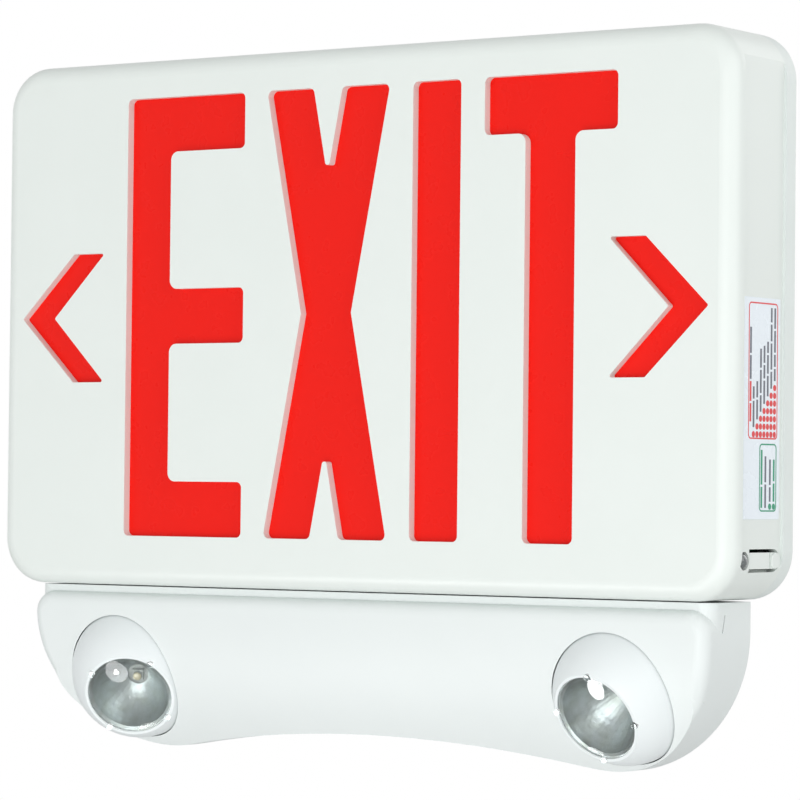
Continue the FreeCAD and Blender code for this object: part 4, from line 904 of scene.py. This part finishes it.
# ---- screws
@dataclass
class CrossScrews:
    """Pan head screws with a cross recess, driven from behind."""

    head_radius: float = 2.8 * MM
    head_height: float = 1.8 * MM
    shank_radius: float = 1.5 * MM
    length: float = 8.0 * MM
    recess_length: float = 3.2 * MM
    recess_width: float = 0.75 * MM
    recess_depth: float = 1.1 * MM
    dome_depth: float = 2.6 * MM
    dome_spread: float = 1.12
    head_steps: int = 40
    dome_rings: int = 24
    shank_steps: int = 28

    def places(self, node: str) -> list[Vector]:
        """Seats of a node's screws, from the middles of its separate heads.

        Args:
            node: the node with the screws.

        Returns:
            The middle of each head's underside.
        """
        data = frame["nodes"][node].data
        back = max(vertex.co.y for vertex in data.vertices)
        found: list[list[Vector]] = []
        for vertex in data.vertices:
            if back - vertex.co.y > self.head_height * 0.2:
                continue
            near = [group for group in found
                    if (group[0] - vertex.co).length < 4 * self.head_radius]
            if near:
                near[0].append(vertex.co.copy())
            else:
                found.append([vertex.co.copy()])
        seats = []
        for group in found:
            low = Vector(min(point[i] for point in group) for i in range(3))
            high = Vector(max(point[i] for point in group) for i in range(3))
            middle = (low + high) / 2
            seats.append(Vector((middle.x, back - self.head_height, middle.z)))
        return seats

    def tree(self, name: str) -> tuple[RepeatTree, Socket]:
        """Build the tree that makes one screw at each point of the carrier.

        Args:
            name: the tree's name.

        Returns:
            The tree and the socket with the screws.
        """
        tree = RepeatTree(name)
        radius, height, dome_depth = tree.sizes(self, "head_radius", "head_height", "dome_depth")
        shank, length = tree.sizes(self, "shank_radius", "length")
        long_side, short_side, depth = tree.sizes(self, "recess_length", "recess_width",
                                                  "recess_depth")
        drum = tree.node("GeometryNodeMeshCylinder", Vertices=self.head_steps, Radius=radius,
                         Depth=height)
        drum_up = tree.node("GeometryNodeTransform", Geometry=drum.outputs["Mesh"],
                            Translation=tree.vector(z=tree.maths("MULTIPLY", height, 0.5)))
        ball = tree.node("GeometryNodeMeshUVSphere", Segments=self.head_steps,
                         Rings=self.dome_rings, Radius=1.0)
        wide = tree.maths("MULTIPLY", radius, self.dome_spread)
        dome = tree.node("GeometryNodeTransform", Geometry=ball.outputs["Mesh"],
                         Scale=tree.vector(wide, wide, dome_depth),
                         Translation=tree.vector(z=tree.maths("SUBTRACT", height, dome_depth)))
        pan = tree.node("GeometryNodeMeshBoolean", {"operation": "INTERSECT", "solver": "EXACT"})
        for form in (drum_up, dome):
            tree.feed(pan.inputs["Mesh 2"], form.outputs[0])
        top = tree.vector(z=height)
        cut = tree.node("GeometryNodeMeshBoolean", {"operation": "DIFFERENCE", "solver": "EXACT"})
        tree.feed(cut.inputs["Mesh 1"], pan.outputs["Mesh"])
        twice = tree.maths("MULTIPLY", depth, 2.0)
        for across, along in ((long_side, short_side), (short_side, long_side)):
            slot = tree.node("GeometryNodeMeshCube", Size=tree.vector(across, along, twice))
            sunk = tree.node("GeometryNodeTransform", Geometry=slot.outputs["Mesh"],
                             Translation=top)
            tree.feed(cut.inputs["Mesh 2"], sunk.outputs[0])
        rod = tree.node("GeometryNodeMeshCylinder", Vertices=self.shank_steps, Radius=shank,
                        Depth=length)
        rod_down = tree.node("GeometryNodeTransform", Geometry=rod.outputs["Mesh"],
                             Translation=tree.vector(z=tree.maths("MULTIPLY", length, -0.5)))
        screw = tree.node("GeometryNodeJoinGeometry")
        for form in (cut.outputs["Mesh"], rod_down.outputs[0]):
            tree.feed(screw.inputs[0], form)
        screws = tree.node("GeometryNodeInstanceOnPoints", Points=tree.start.outputs[0],
                           Instance=screw.outputs[0], Rotation=(-math.pi / 2, 0.0, 0.0))
        return tree, screws.outputs[0]

    def replace(self, node: str) -> None:
        """Put detailed screws in place of a node's plain ones.

        Args:
            node: the node to stand for.
        """
        carrier = bpy.data.meshes.new(node + "_places")
        carrier.from_pydata(self.places(node), [], [])
        tree, screws = self.tree(node + "_tree")
        piece = tree.build(node + "_crossed", screws, SCREW_STEEL, carrier, Matrix())
        add_piece(piece, "housing", "screw_steel", node)


# ---- sign, base and inner works
class SignHousing:
    """The sign: cover, back plate, legend, button, status lamp and label."""

    def build(self) -> None:
        """Dress the sign's pieces and add the label's print and the screws behind."""
        dress(SIGN_WHITE, "front_cover", "test_button")
        dress(BACK_WHITE, "back_plate")
        dress(LEGEND_RED, "legend_panel")
        dress(STATUS_RESIN, "status_led")
        dress(LABEL_FILM, "status_label")
        SideLabel().build()
        CrossScrews().replace("back_screws")


class InnerWorks:
    """What the sign holds: light box, strips, charger, transformer, battery and switch."""

    def build(self) -> None:
        """Dress the inner pieces."""
        dress(BOX_WHITE, "light_box")
        dress(SCREW_STEEL, "light_box_screws", "board_screws", "strap_screws", "neck_screws")
        dress(BOARD_GREEN, "charger_board", "test_board")
        dress(TRANSFORMER_IRON, "transformer")
        dress(RELAY_BLUE, "relay")
        dress(CAPACITOR_CAN, "capacitors")
        dress(TERMINAL_GREY, "terminal_block")
        dress(BATTERY_SLEEVE, "battery_pack")
        dress(STRAP_STEEL, "battery_strap")
        dress(SWITCH_BLACK, "test_switch")
        dress(BOARD_WHITE, "upper_led_strip", "lower_led_strip")
        dress(PHOSPHOR, "upper_strip_leds", "lower_strip_leds")


class LampBase:
    """The base that hangs under the sign."""

    def build(self) -> None:
        """Dress the base and add its screws."""
        dress(BASE_WHITE, "lamp_housing")
        dress(BACK_WHITE, "lamp_housing_back")
        CrossScrews().replace("base_back_screws")


# ---- lamp heads
@dataclass
class LampHead:
    """One eyeball head, with a faceted reflector and a detailed emitter behind its cover."""

    side: str
    facets: int = 30
    rings: int = 7
    mouth: float = 13.3 * MM
    throat: float = 3.2 * MM
    wall: float = 0.5 * MM
    flange: float = 14.7 * MM
    flange_lip: float = 0.35 * MM
    facet_sag: float = 0.06 * MM
    facet_steps: int = 4
    ring_steps: int = 3
    emitter_size: float = 2.2 * MM
    emitter_sink: float = 0.28      # shares of the emitter's size
    emitter_radius: float = 0.62
    emitter_rise: float = 0.34
    pads: int = 6
    pad_ring: float = 4.6 * MM
    pad_radius: float = 0.55 * MM
    pad_flatness: float = 0.45
    pad_height: float = 1.2 * MM

    def __post_init__(self) -> None:
        """Work out the head's frame from its tilt joint and its cover."""
        joint = next(j for j in frame["joints"] if j["name"] == f"{self.side}_head_tilt")
        self.centre = Vector(joint["pos_m"])
        self.trunnion = Vector(joint["axis"]).normalized()
        aim = solid_centre(f"{self.side}_lens") - self.centre
        aim -= self.trunnion * aim.dot(self.trunnion)
        self.aim = aim.normalized()
        self.place = frame_of(self.centre, self.trunnion, self.aim)

    def span(self, node: str) -> tuple[float, float]:
        """How far a node reaches along the head's axis.

        Args:
            node: the piece's name without the side.

        Returns:
            Its lowest and highest place.
        """
        data = frame["nodes"][f"{self.side}_{node}"].data
        places = [(vertex.co - self.centre).dot(self.aim) for vertex in data.vertices]
        return min(places), max(places)

    def reflector(self) -> Piece:
        """Make the bowl from slightly hollow facets between its throat and its flange.

        Returns:
            The bowl.
        """
        low, high = self.span("reflector")
        brim = high - self.wall
        builder = MeshBuilder(f"{self.side}_faceted_reflector")
        steps = self.facets * self.facet_steps
        count = self.rings * self.ring_steps
        bowl = self.mouth ** 2 - self.throat ** 2
        rows = []
        for ring in range(count + 1):
            share = ring / count
            radius = self.throat + (self.mouth - self.throat) * share
            height = low + (brim - low) * (radius ** 2 - self.throat ** 2) / bowl
            rows.append((radius, height, math.sin(math.pi * (share * self.rings % 1))))
        inner = [self._loop(builder, radius, height, sag, steps) for radius, height, sag in rows]
        inner.append(self._loop(builder, self.flange - self.flange_lip, high, 0, steps))
        inner.append(self._loop(builder, self.flange, high, 0, steps))
        outer = [self._loop(builder, self.flange, high - self.wall, 0, steps)]
        outer += [self._loop(builder, radius + self.wall, height - self.wall * 0.1, 0, steps)
                  for radius, height, _ in reversed(rows[:-1])]
        loops = inner + outer
        for loop, following in zip(loops, loops[1:] + loops[:1]):
            builder.wall(loop, following)
        return builder.build(REFLECTOR)

    def _loop(self, builder: MeshBuilder, radius: float, height: float, sag: float,
              steps: int) -> list[bmesh.types.BMVert]:
        """Add one loop of the bowl, sunk a little in the middle of each facet.

        Args:
            builder: the bowl's mesh.
            radius: the loop's radius.
            height: its place along the head's axis.
            sag: how much of the facets' hollow it has, from 0 to 1.
            steps: how many corners it has.

        Returns:
            Its corners in order.
        """
        loop = []
        for step in range(steps):
            angle = math.tau * step / steps
            hollow = self.facet_sag * sag * abs(math.sin(self.facets / 2 * angle))
            reach = radius + hollow
            point = Vector((reach * math.cos(angle), reach * math.sin(angle), height))
            loop.append(builder.mesh.verts.new(self.place @ point))
        return loop

    def emitter(self) -> Piece:
        """Make the emitter's phosphor dome.

        Returns:
            The dome.
        """
        top = self.span("lamp_board")[1]
        builder = MeshBuilder(f"{self.side}_emitter")
        sunk = top - self.emitter_size * self.emitter_sink
        foot = self.place @ Matrix.Translation(Vector((0, 0, sunk)))
        builder.dome(self.emitter_size * self.emitter_radius,
                     self.emitter_size * self.emitter_rise, 8, 32, foot)
        return builder.build(PHOSPHOR, smooth=True)

    def solder_pads(self) -> Piece:
        """Make the ring of solder pads on the lamp board.

        Returns:
            The piece with the pads.
        """
        low = self.span("lamp_board")[0]
        tree = RepeatTree(f"{self.side}_pads_tree")
        count = tree.size("Pads", self.pads, whole=True)
        ring = tree.size("Ring Radius", self.pad_ring)
        radius = tree.size("Pad Radius", self.pad_radius)
        circle = tree.node("GeometryNodeMeshCircle", Vertices=count, Radius=ring)
        drop = tree.node("GeometryNodeMeshUVSphere", Segments=16, Rings=8, Radius=radius)
        flat = tree.node("GeometryNodeTransform", Geometry=drop.outputs["Mesh"],
                         Scale=(1.0, 1.0, self.pad_flatness))
        pads = tree.node("GeometryNodeInstanceOnPoints", Points=circle.outputs["Mesh"],
                         Instance=flat.outputs[0])
        place = self.place @ Matrix.Translation(Vector((0, 0, low + self.pad_height)))
        carrier = bpy.data.meshes.new(f"{self.side}_pads_carrier")
        return tree.build(f"{self.side}_solder_pads", pads.outputs[0], SOLDER, carrier, place)

    def build(self) -> None:
        """Dress the head and add its fine pieces."""
        body = f"{self.side}_head"
        dress(BALL_WHITE, f"{self.side}_ball")
        dress(LENS_CLEAR, f"{self.side}_lens")
        dress(SPREADER, f"{self.side}_heat_spreader")
        dress(BOARD_GREY, f"{self.side}_lamp_board")
        dress(PIN_STEEL, f"{self.side}_trunnion_pins", f"{self.side}_pivot_screw")
        dress(YOKE_BLACK, f"{self.side}_yoke")
        dress(WASHER_RUBBER, f"{self.side}_friction_washer")
        add_piece(self.reflector(), body, "reflector_metal", f"{self.side}_reflector")
        add_piece(self.emitter(), body, "emitter_yellow")
        add_piece(self.solder_pads(), body, "screw_steel")


# ---- studio
@dataclass(frozen=True)
class SoftLamp:
    """A round or square area lamp aimed at the light.

    A gleam lamp shows only in glossy and clear surfaces, and doesn't brighten the plastic.
    """

    name: str
    place: tuple[float, float, float]
    aim: tuple[float, float, float]
    size: float
    brightness: float
    shape: str = "SQUARE"
    gleam: bool = False

    def build(self) -> None:
        """Set the lamp up. Its brightness is what its face would render as."""
        data = bpy.data.lights.new(self.name, "AREA")
        data.shape = self.shape
        data.size = self.size
        area = self.size ** 2 * (math.pi / 4 if self.shape == "DISK" else 1)
        data.energy = self.brightness * math.pi * area
        lamp = bpy.data.objects.new(self.name, data)
        lamp.location = self.place
        towards = Vector(self.aim) - Vector(self.place)
        lamp.rotation_euler = towards.to_track_quat("-Z", "Y").to_euler()
        lamp.visible_camera = False
        lamp.visible_diffuse = not self.gleam
        bpy.context.scene.collection.objects.link(lamp)


@dataclass
class Studio:
    """Pale floor, white surroundings, soft lamps and the camera."""

    floor_height: float = -0.8
    floor_radius: float = 6.0
    floor_thickness: float = 0.02
    floor_steps: int = 96
    floor_colour: Colour = (0.80, 0.80, 0.80)
    ambient: float = 0.5
    camera_place: tuple[float, float, float] = (0.7250, -1.0717, -0.05635)
    camera_right: tuple[float, float, float] = (0.82664, 0.56264, 0.01046)
    camera_up: tuple[float, float, float] = (0.00434, -0.02496, 0.99968)
    focal_length: float = 169.2
    sensor: float = 36.0
    lamps: tuple[SoftLamp, ...] = field(default_factory=lambda: (
        SoftLamp("key", (0.3, -1.4, -0.55), (0, 0, -0.06), 1.4, 3.05),
        SoftLamp("fill", (1.9, -0.4, 0.7), (0, 0, -0.03), 1.5, 1.55),
        SoftLamp("rear", (0.9, 1.7, 0.9), (0, 0, -0.03), 1.4, 1.3),
        SoftLamp("left_glint", (-0.088, -0.574, -0.577), (-0.094, -0.042, -0.122), 0.16, 8.0,
                 "DISK", True),
        SoftLamp("left_spark", (-0.088, -0.569, -0.573), (-0.094, -0.042, -0.122), 0.04, 40.0,
                 "DISK", True),
        SoftLamp("right_glint", (-0.439, -0.590, -0.588), (0.101, -0.043, -0.120), 0.16, 20.0,
                 "DISK", True),
    ))

    def pale_material(self) -> Material:
        """Make the floor's finish: pale, with a faint speckle.

        Returns:
            The material.
        """
        graph = Graph("pale_floor")
        speckle = graph.noise(0.02, 3.0)
        darker = tuple(part * 0.985 for part in self.floor_colour)
        return graph.surface(graph.blend(speckle, self.floor_colour, darker),
                             graph.spread(speckle, 0.6, 0.7))

    def floor(self) -> None:
        """Make the round floor."""
        builder = MeshBuilder("studio_floor")
        turns = [math.tau * step / self.floor_steps for step in range(self.floor_steps)]
        outline = [Vector((self.floor_radius * math.cos(turn), self.floor_radius * math.sin(turn),
                           self.floor_height - self.floor_thickness)) for turn in turns]
        builder.prism(outline, Vector((0, 0, self.floor_thickness)))
        builder.build(self.pale_material())

    def world(self) -> None:
        """White surroundings for the camera, mirrors and glass, and softer light for the rest."""
        world = bpy.data.worlds.new("pale_room")
        bpy.context.scene.world = world
        world.use_nodes = True
        kit = NodeKit(world.node_tree)
        kit.tree.nodes.clear()
        output = kit.node("ShaderNodeOutputWorld")
        light = kit.node("ShaderNodeBackground", Color=(0.985, 1.0, 1.0, 1), Strength=self.ambient)
        white = kit.node("ShaderNodeBackground", Color=(1, 1, 1, 1), Strength=1.0)
        ray = kit.node("ShaderNodeLightPath").outputs
        seen = kit.maths("MAXIMUM", ray["Is Camera Ray"], ray["Is Glossy Ray"])
        clear = kit.maths("MAXIMUM", seen, ray["Is Transmission Ray"])
        mix = kit.node("ShaderNodeMixShader")
        for socket, source in zip(mix.inputs, (clear, light.outputs[0], white.outputs[0])):
            kit.feed(socket, source)
        kit.feed(output.inputs["Surface"], mix.outputs[0])

    def camera(self) -> None:
        """Set the camera at its place, with its two axes."""
        data = bpy.data.cameras.new("camera")
        data.lens = self.focal_length
        data.sensor_width = self.sensor
        data.clip_start = 0.05
        data.clip_end = 30
        camera = bpy.data.objects.new("camera", data)
        right = Vector(self.camera_right).normalized()
        up = Vector(self.camera_up).normalized()
        camera.matrix_world = frame_of(Vector(self.camera_place), right,
                                       right.cross(up).normalized())
        bpy.context.scene.collection.objects.link(camera)
        bpy.context.scene.camera = camera

    def build(self) -> None:
        """Set up the whole studio."""
        self.camera()
        self.world()
        self.floor()
        for lamp in self.lamps:
            lamp.build()
        bpy.context.scene.view_settings.view_transform = "Standard"


def main() -> None:
    """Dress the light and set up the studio."""
    logging.basicConfig(level=logging.INFO, format="%(name)s %(message)s")
    Studio().build()
    SignHousing().build()
    InnerWorks().build()
    LampBase().build()
    for side in ("left", "right"):
        LampHead(side).build()


if __name__ == "__main__":
    main()
